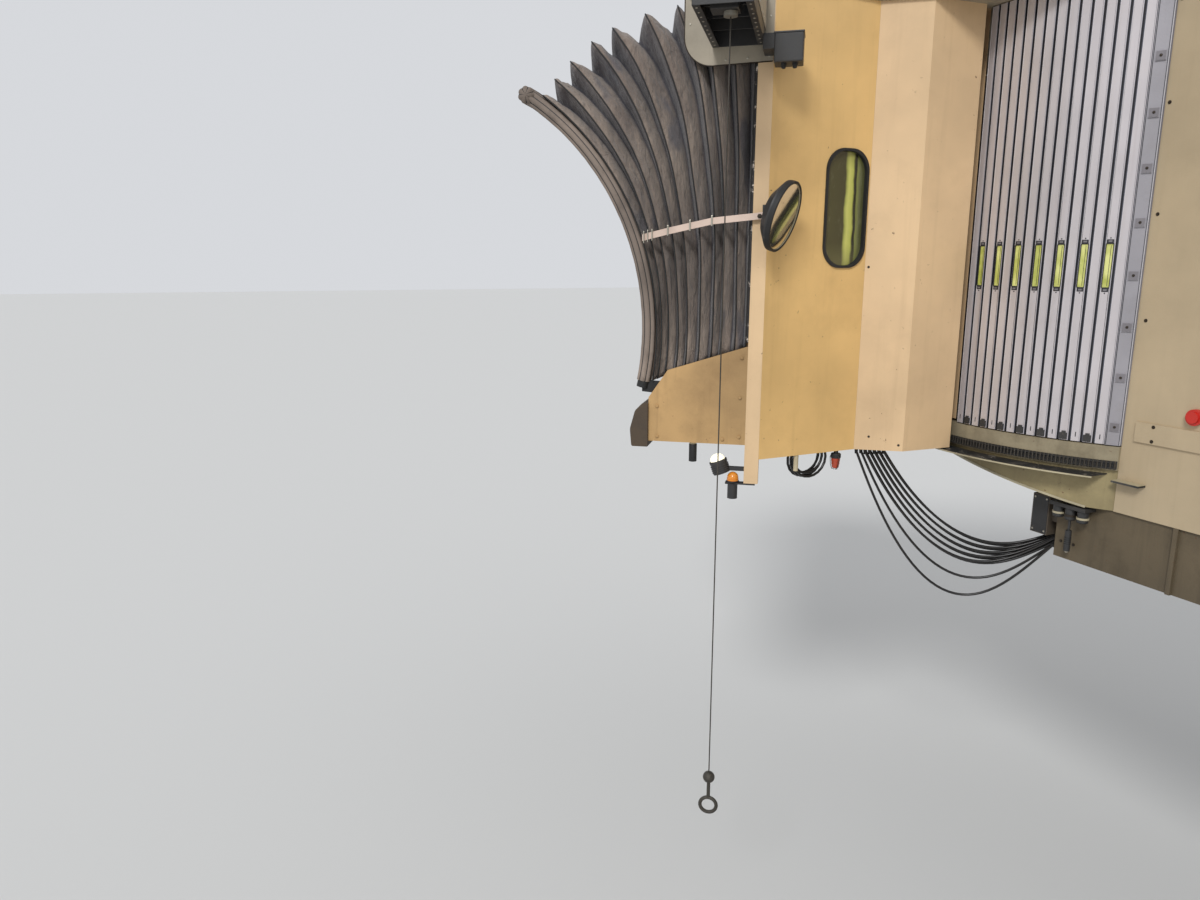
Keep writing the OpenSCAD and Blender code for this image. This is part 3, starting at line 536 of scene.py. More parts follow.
def smoothed(path, rounds=24, held=2):
    """The path with its bends eased, its first and last points held."""
    path = [Vector(p) for p in path]
    for _ in range(rounds):
        path = [p if k < held or k >= len(path) - held else (path[k - 1] + 2 * p + path[k + 1]) / 4
                for k, p in enumerate(path)]
    return path


def run_length(path):
    return sum((b - a).length for a, b in zip(path, path[1:]))


CABLE_D, CABLES, LOWER_CABLES, SAG_STEPS = 0.019, 12, 7, 30
cables = []
for i in range(CABLES):
    top = 1 if i >= LOWER_CABLES else 0
    k = i - 5 * top
    leave = in_cab(POST_X - 0.695 - 0.034 * k + 0.004 * top,
                   BOX_HALF - 0.095 - 0.013 * k + 0.04 * top, -0.3003)
    arrive = PIVOT + Vector((-0.5697, 1.455 - 0.032 * k + 0.008 * top, -0.94 + 0.016 * k + 0.028 * top))
    drop = 0.76 - 0.14 * k if k < 2 else 0.552 - 0.026 * k
    a, b = leave - Vector((0, 0, 0.06)), arrive + Vector((0.06, 0, 0))
    hang = [a.lerp(b, t / SAG_STEPS) - Vector((0, 0, 4 * drop * (t / SAG_STEPS) * (1 - t / SAG_STEPS)))
            for t in range(SAG_STEPS + 1)]
    path = smoothed([leave, leave.lerp(a, 0.5)] + hang + [b.lerp(arrive, 0.5), arrive])
    obj = dress(swept(f"hanging_cable_{i + 1}", path, CABLE_D / 2, 12), CABLE)
    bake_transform(obj)
    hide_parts("cable_bundle")
    run_length(path)
    [tuple(p) for p in path]
    cables.append((leave, arrive))

COIL_R, COIL_TURNS, COIL_STEPS = 0.134, 5, 100
coil_at = CAB @ moved(POST_X - 0.33, FRONT_HALF - 0.38, -0.2 - 0.0098 - COIL_R) @ rotated(WALL_TURN, "Z")
coil_path = []
for n in range(COIL_STEPS + 1):
    a, r = math.radians(90 + 360 * COIL_TURNS / COIL_STEPS * n), COIL_R
    if 0 < n < COIL_STEPS:
        r += 0.013 * math.sin(0.16 * n) - 0.006 * math.cos(0.61 * n)
    coil_path.append(coil_at @ Vector((r * math.cos(a), 0.00098 * n - 0.049, r * math.sin(a))))
coil = dress(swept("spare_cable_coil", coil_path, CABLE_D / 2, 12), CABLE)
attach(coil, "cab")
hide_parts("cable_coil")
tuple(coil_path[0])
run_length(coil_path)
[tuple(p) for p in coil_path]

gland_profile = [(0, 0), (0.016, 0), (0.016, 0.012), (0.0135, 0.014), (0.0135, 0.02), (0.0105, 0.05),
                 (0, 0.05)]
gland = turned("gland", gland_profile, sides=16)
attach(on_points("cable_glands", gland, RUBBER, [(a, (0, 0, -1)) for a, b in cables], keep=True), "cab")
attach(on_points("girder_glands", gland, RUBBER, [(b, (1, 0, 0)) for a, b in cables]), "bridge")

# Slat curtains

CURTAIN_R, PITCH, GROOVE, SLAT_THICK = 1.8, 0.073, 0.009, 0.026
STEP = PITCH / CURTAIN_R
PORTAL = math.pi - math.asin(TUNNEL_HALF / CURTAIN_R)
STRIP_ANG = PORTAL - math.radians(1.65)
SLATS_END = STRIP_ANG - math.asin(0.0453 / (CURTAIN_R - SLAT_THICK)) - math.radians(0.01)
SLAT_LOW, SLAT_HIGH = -0.112, 2.7997
SLOT_W, SLOT_H, SLOT_Z = 0.024, 0.155, 1.05

GROOVE_DARK = coat("slat_joint", (34, 35, 40), 0.55, grime=0.3, streak=0.0)
# A pale line down the rib beside each joint, and down each edge strip: painted highlight.
RIDGE_HIGHLIGHT = coat("slat_ridge_painted_highlight", (226, 222, 224), 0.28, 0.4, tone=0.04, grime=0.15, dirt=(176, 164, 156),
                  streak=0.2)


def pane_paint():
    """The small panes: yellowish, and paler in clouds."""
    mat, tree, skin = blank("slat_pane", 0.18)
    where = add(tree, "ShaderNodeTexCoord").outputs["Object"]
    haze = between(tree, clouds(tree, squeezed(tree, where, (9, 9, 5)), 1.2, 3), 0.4, 0.62)
    tree.links.new(mixed(tree, haze, rgb(178, 182, 84), rgb(222, 222, 140)), skin.inputs["Base Color"])
    skin.inputs["Coat Weight"].default_value = 0.4
    return mat


PANE = pane_paint()


def slot_outline(half_w, half_h, steps=8):
    """A slot with round ends, anticlockwise from its lower middle."""
    turns = [math.pi / 2 * k / steps for k in range(steps + 1)]
    low = [(half_w * math.sin(a), -half_h + half_w * (1 - math.cos(a))) for a in turns]
    up = [(x, -y) for x, y in reversed(low)]
    right = low + up
    return right, [(-x, y) for x, y in reversed(right)]


def slat_shape(side, window):
    """One slat: grooved edges, crowned ribs by each joint, and a through slot where it carries a window."""
    front = [(-14, -41), (-14, -32), (-7, -31.6), (-5, -26.6), (0.3, -25.6), (0.3, -23), (-0.9, -22.2),
             (0, -21.2), (0, 21.2), (-1.0, 22), (-1.0, 23.2), (0, 24), (0, 28.6), (-1.6, 31.2), (-8, 32),
             (-14, 32)]
    ring = [(x / 1000, y / 1000) for x, y in front] + [(-SLAT_THICK, 0.032), (-SLAT_THICK, -0.041)]
    verts, faces = [], []
    for z in (SLAT_LOW, SLAT_HIGH):
        verts += [(CURTAIN_R + x, side * y, z) for x, y in ring]
    n = len(ring)
    flat_front, flat_back = 7, len(ring) - 2
    for i in range(n):
        if window and i in (flat_front, flat_back):
            continue
        faces.append((i, (i + 1) % n, n + (i + 1) % n, n + i))
    faces += [tuple(range(n)), tuple(range(n, 2 * n))]
    if window:
        right, left = slot_outline(SLOT_W, SLOT_H)
        loops = []
        for x in (0.0, -SLAT_THICK):
            loop = []
            for pts in (right, left):
                loop.append(list(range(len(verts), len(verts) + len(pts))))
                verts += [(CURTAIN_R + x, side * y, SLOT_Z + z) for y, z in pts]
            loops.append(loop)
        for (r, l), (i, j) in zip(loops, ((flat_front, flat_front + 1), (flat_back, flat_back + 1))):
            low_neg, low_pos = (i, j) if verts[i][1] * side < verts[j][1] * side else (j, i)
            mid = [len(verts), len(verts) + 1]
            x = verts[i][0]
            verts += [(x, 0, SLAT_LOW), (x, 0, SLAT_HIGH)]
            faces.append([mid[0], low_pos, n + low_pos, mid[1]] + r[::-1])
            faces.append([mid[1], n + low_neg, low_neg, mid[0]] + l[::-1])
        for half in (0, 1):
            a, b = loops[0][half], loops[1][half]
            faces += [(a[k], a[k + 1], b[k + 1], b[k]) for k in range(len(a) - 1)]
    obj = dress(piece("slat", verts, faces), SLAT, GROOVE_DARK, RIDGE_HIGHLIGHT, SHADE)
    # By the joints: dark joint faces, painted shade on the shoulders and on the fine line, and a painted
    # highlight on the rib.
    for f in obj.data.polygons:
        along = side * f.center[1] * 1000
        if abs(f.normal[2]) < 0.5 and f.center[0] > CURTAIN_R - 0.02:
            if along < -31.9 or along > 31.3:
                f.material_index = 1
            elif along < -25.7 or 22.1 < along < 23.1 or along > 28.6:
                f.material_index = 3
            elif along < -22.3:
                f.material_index = 2
    return obj


def slot_loop(half_w, half_h):
    return [p for half in slot_outline(half_w, half_h) for p in half[:-1]]


def slot_ring(half_w, half_h, wide, x0, x1):
    """A thin frame round a slot, between two radii of the curtain."""
    outer, inner = slot_loop(half_w + wide, half_h + wide), slot_loop(half_w, half_h)
    m = len(outer)
    verts = [(CURTAIN_R + x, y, SLOT_Z + h) for x in (x0, x1) for loop in (outer, inner) for y, h in loop]
    faces = []
    for k in range(m):
        q = (k + 1) % m
        faces += [(k, q, 2 * m + q, 2 * m + k), (m + k, m + q, 3 * m + q, 3 * m + k), (k, q, m + q, m + k),
                  (2 * m + k, 2 * m + q, 3 * m + q, 3 * m + k)]
    return piece("liner", verts, faces)


def slot_pane(half_w, half_h, x0, x1):
    """A flat pane in a slot, between two radii of the curtain."""
    loop = slot_loop(half_w, half_h)
    m = len(loop)
    verts = [(CURTAIN_R + x, y, SLOT_Z + h) for x in (x0, x1) for y, h in loop]
    faces = [tuple(range(m)), tuple(range(m, 2 * m))]
    return piece("pane", verts, faces + [(k, (k + 1) % m, m + (k + 1) % m, m + k) for k in range(m)])


def slat_parts(side):
    """A curtain's pieces with their paint, each on the plain slats (0) or on those with a window (1)."""
    yield slat_shape(side, False), None, 0
    yield slat_shape(side, True), None, 1
    yield slot_ring(SLOT_W - 0.0042, SLOT_H - 0.0042, 0.0048, -0.018, 0.0014), GROOVE_DARK, 1
    yield slot_pane(SLOT_W - 0.003, SLOT_H - 0.003, -0.012, -0.004), PANE, 1
    yield block("bar", CURTAIN_R - 0.005, CURTAIN_R - 0.0025, 0.0055, 0.008, SLOT_Z - 0.128, SLOT_Z + 0.128,
                bevel=0.0008), GROOVE_DARK, 1
    for up in (1, -1):
        z = SLOT_Z + up * (SLOT_H - 0.004)
        low, high = sorted((z - up * 0.014, z + up * 0.016))
        yield block("cap", CURTAIN_R - 0.01, CURTAIN_R + 0.0022, -0.0205, 0.0205, low, high,
                    bevel=0.004), GROOVE_DARK, 1
        low, high = sorted((z - up * 0.002, z + up * 0.009))
        yield block("plate", CURTAIN_R, CURTAIN_R + 0.0032, -0.011, 0.011, low, high, bevel=0.001), CLIP, 1
        screw_at = moved(CURTAIN_R - 0.001, 0, z + up * 0.024) @ rotated(math.pi / 2, "Y")
        yield turned("screw", [(0.0042, 0), (0.0042, 0.003), (0, 0.0042)], screw_at, 8), GROOVE_DARK, 1
    yield block("foot", CURTAIN_R - 0.02, CURTAIN_R + 0.007, -0.026, 0.022,
                SLAT_LOW + 0.004, SLAT_LOW + 0.05), DARK, 1
    yield block("foot_cap", CURTAIN_R, CURTAIN_R + 0.009, -0.013, 0.013, SLAT_LOW + 0.046, SLAT_LOW + 0.062,
                bevel=0.002), DARK, 1
    yield block("notch", CURTAIN_R - 0.012, CURTAIN_R + 0.0008, -0.003, 0.003,
                SLAT_LOW + 0.03, SLAT_LOW + 0.062, bevel=0.001), GROOVE_DARK, 0


def curtain(name, low_angle, side, node, cuts):
    """Slats from the tunnel's edge strip round to the cab's box, cut into lengths."""
    whole = SLATS_END - low_angle
    count = int(whole / STEP)
    shift = -STEP / 2 + GROOVE / CURTAIN_R / 2
    bounds = [round(count * k / cuts) for k in range(cuts + 1)]
    for k, (i0, i1) in enumerate(zip(bounds, bounds[1:])):
        parts = []
        for shape, mat, kind in slat_parts(side):
            todo = [i for i in range(i0, i1) if i % 2 == kind]
            if todo:
                angle = (SLATS_END - STEP * todo[0] + shift) * side
                parts.append(on_arc("run", shape, mat, angle, -STEP * 2 * side, len(todo), ROUND))
            else:
                bpy.data.objects.remove(shape)
        obj = joined(f"{name}_{k + 1}", parts)
        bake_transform(obj)
        if k == 0:
            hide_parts(node)


BOX_ANG = math.radians(31.4)
curtain("left_slats", BOX_ANG + CAB_TURN, 1, "curtain_left", 2)
curtain("right_slats", BOX_ANG - CAB_TURN, -1, "curtain_right", 7)

# Canopy: one pleated sheet from the posts to the front bow

FOLD_AT = (0.0, 0.12, 0.262, 0.36, 0.51, 0.655, 0.755, 0.863, 0.94, 1.0)
FOLDS, VALLEY, FOLD_D, HALF = len(FOLD_AT) - 1, 0.32, 0.155, 1.81
HULL_R, HULL, BOW_R, CLEAR = 1.88, (5.67, 0.60), 0.045, 0.016
BOW_LOW, BOW_HIGH = -11, 57.5
BOW_TOP = HULL[1] + (HULL_R + BOW_R) * math.sin(math.radians(BOW_HIGH))
CANOPY_X, EDGE_FOOT, POST_TOP = 3.05, 0.28, 2.76
SIDE_STEPS, CORNER_STEPS, ROOF_STEPS = 46, 5, 20


def front_x(z):
    """Where the cloth's front edge is at a height, just behind the bow."""
    return HULL[0] - math.sqrt((HULL_R + 2 * BOW_R + CLEAR) ** 2 - (z - HULL[1]) ** 2)


def fold_point(t, s):
    """x and z of a point: t goes from the posts to the front edge, s from the foot to the head."""
    foot, head = 0.495 - 0.26 * t, POST_TOP - (POST_TOP - BOW_TOP) * t ** 3.4
    edge_x = front_x(EDGE_FOOT + (BOW_TOP - EDGE_FOOT) * s)
    return CANOPY_X + (edge_x - CANOPY_X) * t, foot + (head - foot) * s


def fold_of(u):
    """Place from posts to front edge, way down to the valley, and depth; u counts folds from the posts."""
    i = min(int(u), FOLDS - 1)
    f = u - i
    width = FOLD_AT[i + 1] - FOLD_AT[i]
    lean = f / VALLEY if f < VALLEY else (1 - f) / (1 - VALLEY)
    full = FOLD_D * (0.5 + 0.5 * min(1.0, width / 0.13))
    return FOLD_AT[i] + width * f, lean, full * (1 - math.cos(lean * math.pi / 2)) ** 0.85


def cloth_row(u):
    """One line across the sheet, from the left foot over the top to the right foot."""
    t, lean, depth = fold_of(u)
    tall = fold_point(t, 1.0)[1] - fold_point(t, 0.0)[1]

    def side_point(s):
        x, z = fold_point(t, s)
        in_by = 0.25 + 0.75 * (1 - (1 - min(1, s / 0.5)) ** 2)
        belly = 0.016 * math.sin(math.pi * s) * lean * (1 - lean) * 4
        return x, HALF - depth * in_by - belly, z - depth * 0.75 * s ** 6

    corner = 0.05 + 0.05 * lean
    turn_at = 1 - corner / tall
    row = [side_point(turn_at * k / SIDE_STEPS) for k in range(SIDE_STEPS)]
    (cx, cy, cz), (top_x, _, top_z) = side_point(turn_at), side_point(1.0)
    for k in range(CORNER_STEPS + 1):
        a = math.pi / 2 * k / CORNER_STEPS
        ahead, up = math.sin(a), math.cos(a)
        row.append((cx + (top_x - cx) * ahead, cy - corner * (1 - up), cz + (top_z - cz) * ahead))
    y0 = cy - corner
    for k in range(1, ROOF_STEPS + 1):
        y = y0 * (1 - k / ROOF_STEPS)
        row.append((top_x, y, top_z - (0.012 + 0.02 * lean) * (1 - (y / y0) ** 2)))
    return row + [(x, -y, z) for x, y, z in reversed(row[:-1])]


def creased(p, lean):
    """Small drag wrinkles in the cloth, none on the sewn crests."""
    x, y, z = Vector(p)
    wave = noise.noise(Vector((x * 6, y * 3, z * 2.2))) * 0.024
    wave += noise.noise(Vector((x * 15, y * 8, z * 5.5))) * 0.016
    wave += abs(noise.noise(Vector((x * 12, y * 5, z * 3 + x * 5)))) * 0.024
    return wave * min(1.0, lean * 3)


PER = 16
columns = FOLDS * PER
rows = [cloth_row(i / PER) for i in range(columns + 1)]
across = len(rows[0])
cloth_pts = []
for i, row in enumerate(rows):
    lean = fold_of(i / PER)[1]
    free = math.sin(math.pi * min(1, i / columns)) ** 0.5
    for j, (x, y, z) in enumerate(row):
        shift = creased((x, y, z), lean)
        slack = 0.018 * noise.noise(Vector((x * 4, y * 2, z * 1.6))) * free
        if SIDE_STEPS < j < across - SIDE_STEPS - 1:
            cloth_pts.append((x + slack, y, z - abs(shift)))
        else:
            cloth_pts.append((x + slack, y + (shift if y < 0 else -shift), z))
cloth_faces = [(i * across + j, i * across + j + 1, (i + 1) * across + j + 1, (i + 1) * across + j)
               for i in range(columns) for j in range(across - 1)]
cloth = piece("canopy_cloth", cloth_pts, cloth_faces, CAB, True)

uv = cloth.data.uv_layers.new(name="pleats")
for loop in cloth.data.loops:
    i, j = divmod(loop.vertex_index, across)
    uv.data[loop.index].uv = (i / PER, j / (across - 1) * 8)


def cloth_paint():
    """Faded cloth: painted bluish shadow patches, scuffs, painted shade on the pleats' forward faces, a fine
    weave, and drag wrinkles.
    """
    mat, tree, skin = blank("canopy_fabric", 0.86)
    where = add(tree, "ShaderNodeTexCoord").outputs["Object"]
    on_sheet = add(tree, "ShaderNodeUVMap", uv_map="pleats").outputs[0]
    pleats = add(tree, "ShaderNodeSeparateXYZ", {"Vector": on_sheet})

    def noise_at(scale, size=1.0, detail=5, rough=0.6, seed=0.0):
        return clouds(tree, squeezed(tree, where, scale), size, detail, rough, seed)

    fade = between(tree, noise_at((1.4, 1.4, 0.9), 1.6, 7, 0.62), 0.38, 0.62)
    colour = mixed(tree, fade, rgb(126, 112, 103), rgb(164, 148, 134))
    # Blotchy blue-grey patches: painted shadow of the hood and the parts round the cloth.
    painted_shadow_patches = between(tree, noise_at((2.2, 2.2, 1.0), 1.2, 3, 0.5, 4.0), 0.56, 0.60, 0.7)
    colour = mixed(tree, painted_shadow_patches, colour, rgb(84, 84, 94))
    scuffs = between(tree, noise_at((26, 26, 3), detail=8, rough=0.7, seed=2.0), 0.58, 0.70, 0.45)
    colour = mixed(tree, scuffs, colour, rgb(186, 172, 158))
    # From each crest forward into the valley the pleat's face turns dark blue-grey: painted shade on the
    # faces turned from the light.
    ragged = add(tree, "ShaderNodeMath", {0: noise_at((5, 5, 2), detail=4), 1: 0.16, 2: pleats.outputs["X"]},
                 operation="MULTIPLY_ADD").outputs[0]
    back = add(tree, "ShaderNodeMath", {0: ragged, 1: 0.08}, operation="SUBTRACT").outputs[0]
    phase = add(tree, "ShaderNodeMath", {0: back}, operation="FRACT").outputs[0]
    shaded = add(tree, "ShaderNodeValToRGB", {"Fac": phase})
    for end in shaded.color_ramp.elements:
        end.color = (0.25, 0.25, 0.25, 1)
    for spot, amount in ((0.05, 0.75), (0.25, 0.9), (0.31, 1.0), (0.36, 0.75), (0.46, 0.0), (0.93, 0.0)):
        shaded.color_ramp.elements.new(spot).color = (amount, amount, amount, 1)
    colour = mixed(tree, shaded.outputs[0], colour, rgb(56, 56, 64))
    crease_dirt = between(tree, noise_at((30, 30, 9), detail=8, rough=0.75, seed=6.0), 0.54, 0.66, 0.5)
    colour = mixed(tree, crease_dirt, colour, rgb(92, 80, 72))
    weave = [add(tree, "ShaderNodeTexWave", {"Vector": where, "Scale": 80.0, "Distortion": 1.5,
                                             "Detail": 2.0}, bands_direction=d).outputs["Fac"]
             for d in ("Z", "DIAGONAL")]
    knit = add(tree, "ShaderNodeMath", {0: weave[0], 1: weave[1]}, operation="MULTIPLY").outputs[0]
    colour = mixed(tree, between(tree, knit, 0.0, 1.0, 0.2), colour, rgb(74, 66, 62))
    tree.links.new(colour, skin.inputs["Base Color"])
    skin.inputs["Sheen Weight"].default_value = 0.25
    skin.inputs["Sheen Roughness"].default_value = 0.5
    drag = add(tree, "ShaderNodeBump", {"Height": noise_at((9, 9, 2.4), detail=4, rough=0.55, seed=9.0),
                                        "Strength": 0.85, "Distance": 0.05})
    crumple = add(tree, "ShaderNodeBump", {"Height": noise_at((16, 16, 7), detail=7, rough=0.66),
                                           "Strength": 0.9, "Distance": 0.035, "Normal": drag.outputs[0]})
    fine = add(tree, "ShaderNodeBump", {"Height": knit, "Strength": 0.2, "Distance": 0.002,
                                        "Normal": crumple.outputs[0]})
    tree.links.new(fine.outputs[0], skin.inputs["Normal"])
    return mat


dress(cloth, cloth_paint())

seams = []
for i in range(0, columns + 1, PER):
    crest = [CAB @ Vector(cloth_pts[i * across + j]) for j in range(0, across, 2)]
    seams.append(dress(swept("seam", crest, 0.0055, 6), RUBBER))
piping = joined("crest_piping", seams)


def ridge(a):
    """From 0 in the gaps between the sleeve's seven ridges to 1 on a ridge."""
    return abs(math.cos(3.5 * a + 0.4))


def pleated_bar(path, out, radius, sides=48):
    """A cloth sleeve with sewn ridges, painted shade in the gaps between them and drawn-in ends; out is its
    outer side.
    """
    verts = []
    for t, p in zip(tangents_of(path), path):
        up = (out - t * out.dot(t)).normalized()
        side = t.cross(up)
        for j in range(sides):
            a = 2 * math.pi * j / sides
            r = radius + 0.009 * ridge(a) ** 0.8 + 0.002 * noise.noise(p * 14)
            verts.append(p + r * (math.cos(a) * up + math.sin(a) * side))
    verts.append(path[0] - (path[1] - path[0]).normalized() * 0.02)
    verts.append(path[-1] + (path[-1] - path[-2]).normalized() * 0.02)
    m = len(path)
    faces = band_faces(m, sides)
    faces += [[m * sides, (j + 1) % sides, j] for j in range(sides)]
    faces += [[m * sides + 1, (m - 1) * sides + j, (m - 1) * sides + (j + 1) % sides] for j in range(sides)]
    obj = dress(piece("sleeve", verts, faces, smooth=True), SLEEVE, RUBBER)
    # Faces in the gaps between the ridges take the black rubber: painted shade.
    for f in obj.data.polygons:
        if all(ridge(2 * math.pi * (v % sides) / sides) < 0.42 for v in f.vertices if v < m * sides):
            f.material_index = 1
    return obj


SLEEVE = coat("sleeve_fabric", (140, 126, 115), 0.86, tone=0.2, grime=0.5, dirt=(84, 76, 72), streak=0.0,
              grain=260.0, bump=0.3, patch=7.0)
BOW_STEPS, BAR_STEPS = 60, 40
parts = []
for side in (1, -1):
    arc = []
    for k in range(BOW_STEPS + 1):
        a = math.radians(BOW_LOW + (BOW_HIGH - BOW_LOW) * k / BOW_STEPS)
        arc.append(in_cab(HULL[0] - (HULL_R + BOW_R) * math.cos(a), side * (HALF - 0.04),
                          HULL[1] + (HULL_R + BOW_R) * math.sin(a)))
    parts.append(pleated_bar(arc, CAB.to_3x3() @ Vector((0, side, 0)), BOW_R + 0.001))
bar_x = HULL[0] - (HULL_R + BOW_R) * math.cos(math.radians(BOW_HIGH))
top_bar = [in_cab(bar_x, (HALF + 0.008) * (1 - 2 * k / BAR_STEPS), BOW_TOP) for k in range(BAR_STEPS + 1)]
parts.append(pleated_bar(top_bar, Vector((0, 0, 1)), BOW_R + 0.005))
sleeve = joined("bow_sleeve", parts)

fold_line = (in_cab(2.918, 0, 2.0), in_cab(4.216, 0, 1.775))
for obj in (cloth, piping):
    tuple(fold_line[0])
    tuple(fold_line[1])
    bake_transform(obj)
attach(sleeve, "canopy_front")
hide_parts("canopy")

# Strap with its clips, and the worn edge bar that holds the cloth to the post

BAND_Y = 1.883
clips = [(3.301, 1.349, 0.012, 0.07), (3.45, 1.32, 0.012, 0.074), (3.602, 1.288, 0.012, 0.07),
         (3.712, 1.259, 0.008, 0.078), (3.742, 1.252, 0.008, 0.082), (3.77, 1.244, 0.008, 0.08)]
strap_line = [(2.95, 1.38), (3.301, 1.347), (3.45, 1.316), (3.602, 1.284), (3.742, 1.251), (3.77, 1.243)]
parts = []
for side in (1, -1):
    band = []
    for (xa, za), (xb, zb) in zip(strap_line, strap_line[1:]):
        for k in range(8):
            f = k / 8
            dip = 0.007 * math.sin(math.pi * f) if xa > 3.2 else 0.0
            band.append(in_cab(xa + (xb - xa) * f, side * (BAND_Y - dip), za + (zb - za) * f))
    for x, y, z in ((3.77, BAND_Y, 1.243), (3.782, BAND_Y - 0.009, 1.241), (3.783, BAND_Y - 0.038, 1.241)):
        band.append(in_cab(x, side * y, z))
    parts.append(dress(ribbon("band", band, 0.044, 0.005), STRAP))
    for x, z, wide, tall in clips:
        y0, y1 = sorted((side * (BAND_Y - 0.021), side * (BAND_Y + 0.009)))
        clip = block("clip", x - wide / 2, x + wide / 2, y0, y1, z - tall / 2, z + tall / 2, CAB, 0.0025)
        parts.append(dress(clip, BOLT))
    at = CAB @ moved(2.982, side * 1.85, 1.375) @ rotated(-side * math.pi / 2, "X")
    parts.append(dress(turned("spacer", [(0.009, 0.0), (0.009, 0.0305)], at, 20), BOLT))
    head = [(0.017, 0.0355), (0.017, 0.0385), (0.011, 0.0386), (0.010, 0.046), (0, 0.047)]
    parts.append(dress(turned("washer", head, at, 6), DARK_BOLT))
strap = joined("canopy_band", parts)
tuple(fold_line[0])
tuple(fold_line[1])
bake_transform(strap)
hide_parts("canopy_strap")

parts = []
for side in (1, -1):
    y0, y1 = sorted((side * 1.778, side * 1.812))
    parts.append(dress(block("bar", 3.0304, 3.056, y0, y1, 0.52, 2.72, CAB, 0.004), EDGE_BAR))
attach(joined("cloth_edge_bars", parts), "cab")

girth = sum((Vector(rows[PER][j]) - Vector(rows[PER][j + 1])).length for j in range(across - 1))
thick = cloth.modifiers.new("thickness", "SOLIDIFY")
thick.thickness, thick.offset = 0.003, 0.0

# Window glass in the angled walls

GLASS_HALF_W, GLASS_HALF_H, GLASS_CORNER = 0.1687, 0.3877, 0.138
GLASS_X, GLASS_Z = 0.655, 1.44


def glass_paint():
    """Greenish glass with a painted reflection: upright light and dark bands, faded at its head and foot; and
    smears.
    """
    mat, tree, skin = blank("window_glass", 0.08)
    where = add(tree, "ShaderNodeUVMap", uv_map="glass").outputs[0]
    place = add(tree, "ShaderNodeSeparateXYZ", {"Vector": where}).outputs
    ripple = clouds(tree, squeezed(tree, where, (1, 1.6, 1)), 1.6, 3)
    wander = add(tree, "ShaderNodeMath", {0: ripple, 1: 0.16, 2: place["X"]},
                 operation="MULTIPLY_ADD").outputs[0]
    ramp = add(tree, "ShaderNodeValToRGB", {"Fac": between(tree, wander, 0.08, 1.08)})
    for end, colour in zip(ramp.color_ramp.elements, ((58, 56, 34), (78, 78, 50))):
        end.color = rgb(*colour)
    # The light and dark upright bands, faded towards the head and the foot, are a painted reflection.
    painted_reflection_bands = ((0.14, (72, 70, 42)), (0.5, (64, 62, 38)), (0.55, (176, 178, 92)), (0.6, (204, 204, 110)),
               (0.7, (186, 188, 92)), (0.745, (58, 56, 34)), (0.79, (46, 44, 28)), (0.82, (128, 132, 66)),
               (0.9, (96, 98, 56)))
    for spot, colour in painted_reflection_bands:
        ramp.color_ramp.elements.new(spot).color = rgb(*colour)
    high_fade = between(tree, place["Y"], 0.85, 1.0, 0.55)
    low_fade = between(tree, place["Y"], 0.0, 0.2, 0.0, 0.5)
    seen = mixed(tree, high_fade, ramp.outputs[0], rgb(60, 58, 38))
    seen = mixed(tree, low_fade, seen, rgb(120, 116, 74))
    smears = between(tree, clouds(tree, squeezed(tree, where, (3, 3, 1)), 2.0, 9, 0.7, 2.0), 0.55, 0.75, 0.25)
    tree.links.new(mixed(tree, smears, seen, rgb(150, 148, 120)), skin.inputs["Base Color"])
    skin.inputs["Coat Weight"].default_value = 1.0
    return mat


GLASS = glass_paint()
outline = []
for right, up, a0 in ((1, 1, 0), (-1, 1, 90), (-1, -1, 180), (1, -1, 270)):
    for k in range(10):
        a = math.radians(a0 + 10 * k)
        outline.append((GLASS_X + right * (GLASS_HALF_W - GLASS_CORNER) + GLASS_CORNER * math.cos(a),
                        GLASS_Z + up * (GLASS_HALF_H - GLASS_CORNER) + GLASS_CORNER * math.sin(a)))
for label, place in (("left_window_glass", WALL), ("right_window_glass", RIGHT_WALL)):
    stand = place @ Matrix(((1, 0, 0, 0), (0, 0, -1, 0.027), (0, 1, 0, 0), (0, 0, 0, 1)))
    pane = prism(label, outline, 0.0, 0.01, stand, 0.0015)
    back = stand.inverted()
    uv = pane.data.uv_layers.new(name="glass")
    for loop in pane.data.loops:
        q = back @ pane.data.vertices[loop.vertex_index].co
        uv.data[loop.index].uv = ((q.x - GLASS_X + GLASS_HALF_W) / (2 * GLASS_HALF_W),
                                  (q.y - GLASS_Z + GLASS_HALF_H) / (2 * GLASS_HALF_H))
    dress(pane, GLASS)
    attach(pane, "cab")
    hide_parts("window_panes")

# Mirror glass and the beacon's amber dome


def mirror_paint():
    """Silvered glass with a dusty haze."""
    mat, tree, skin = blank("mirror_glass", 0.06, 1.0)
    where = add(tree, "ShaderNodeTexCoord").outputs["Object"]
    dust = between(tree, clouds(tree, where, 6, 8, 0.7), 0.5, 0.75, 0.5)
    tree.links.new(mixed(tree, dust, rgb(214, 214, 208), rgb(150, 142, 126)), skin.inputs["Base Color"])
    return mat


def amber_paint():
    """Amber plastic with fine ribs across it."""
    mat, tree, skin = blank("amber_dome", 0.15)
    where = add(tree, "ShaderNodeTexCoord").outputs["Object"]
    ribs = add(tree, "ShaderNodeTexWave", {"Vector": where, "Scale": 28.0},
               bands_direction="Z").outputs["Fac"]
    tree.links.new(mixed(tree, ribs, rgb(214, 120, 26), rgb(240, 160, 56)), skin.inputs["Base Color"])
    skin.inputs["Coat Weight"].default_value = 0.6
    return mat


dress(nodes["mirror_glass"], mirror_paint())
AMBER = amber_paint()
dress(nodes["beacon"], AMBER)

# Roller chain round the fixed ring, and pale strips along the beams' edges, partly wear and partly painted
# highlight


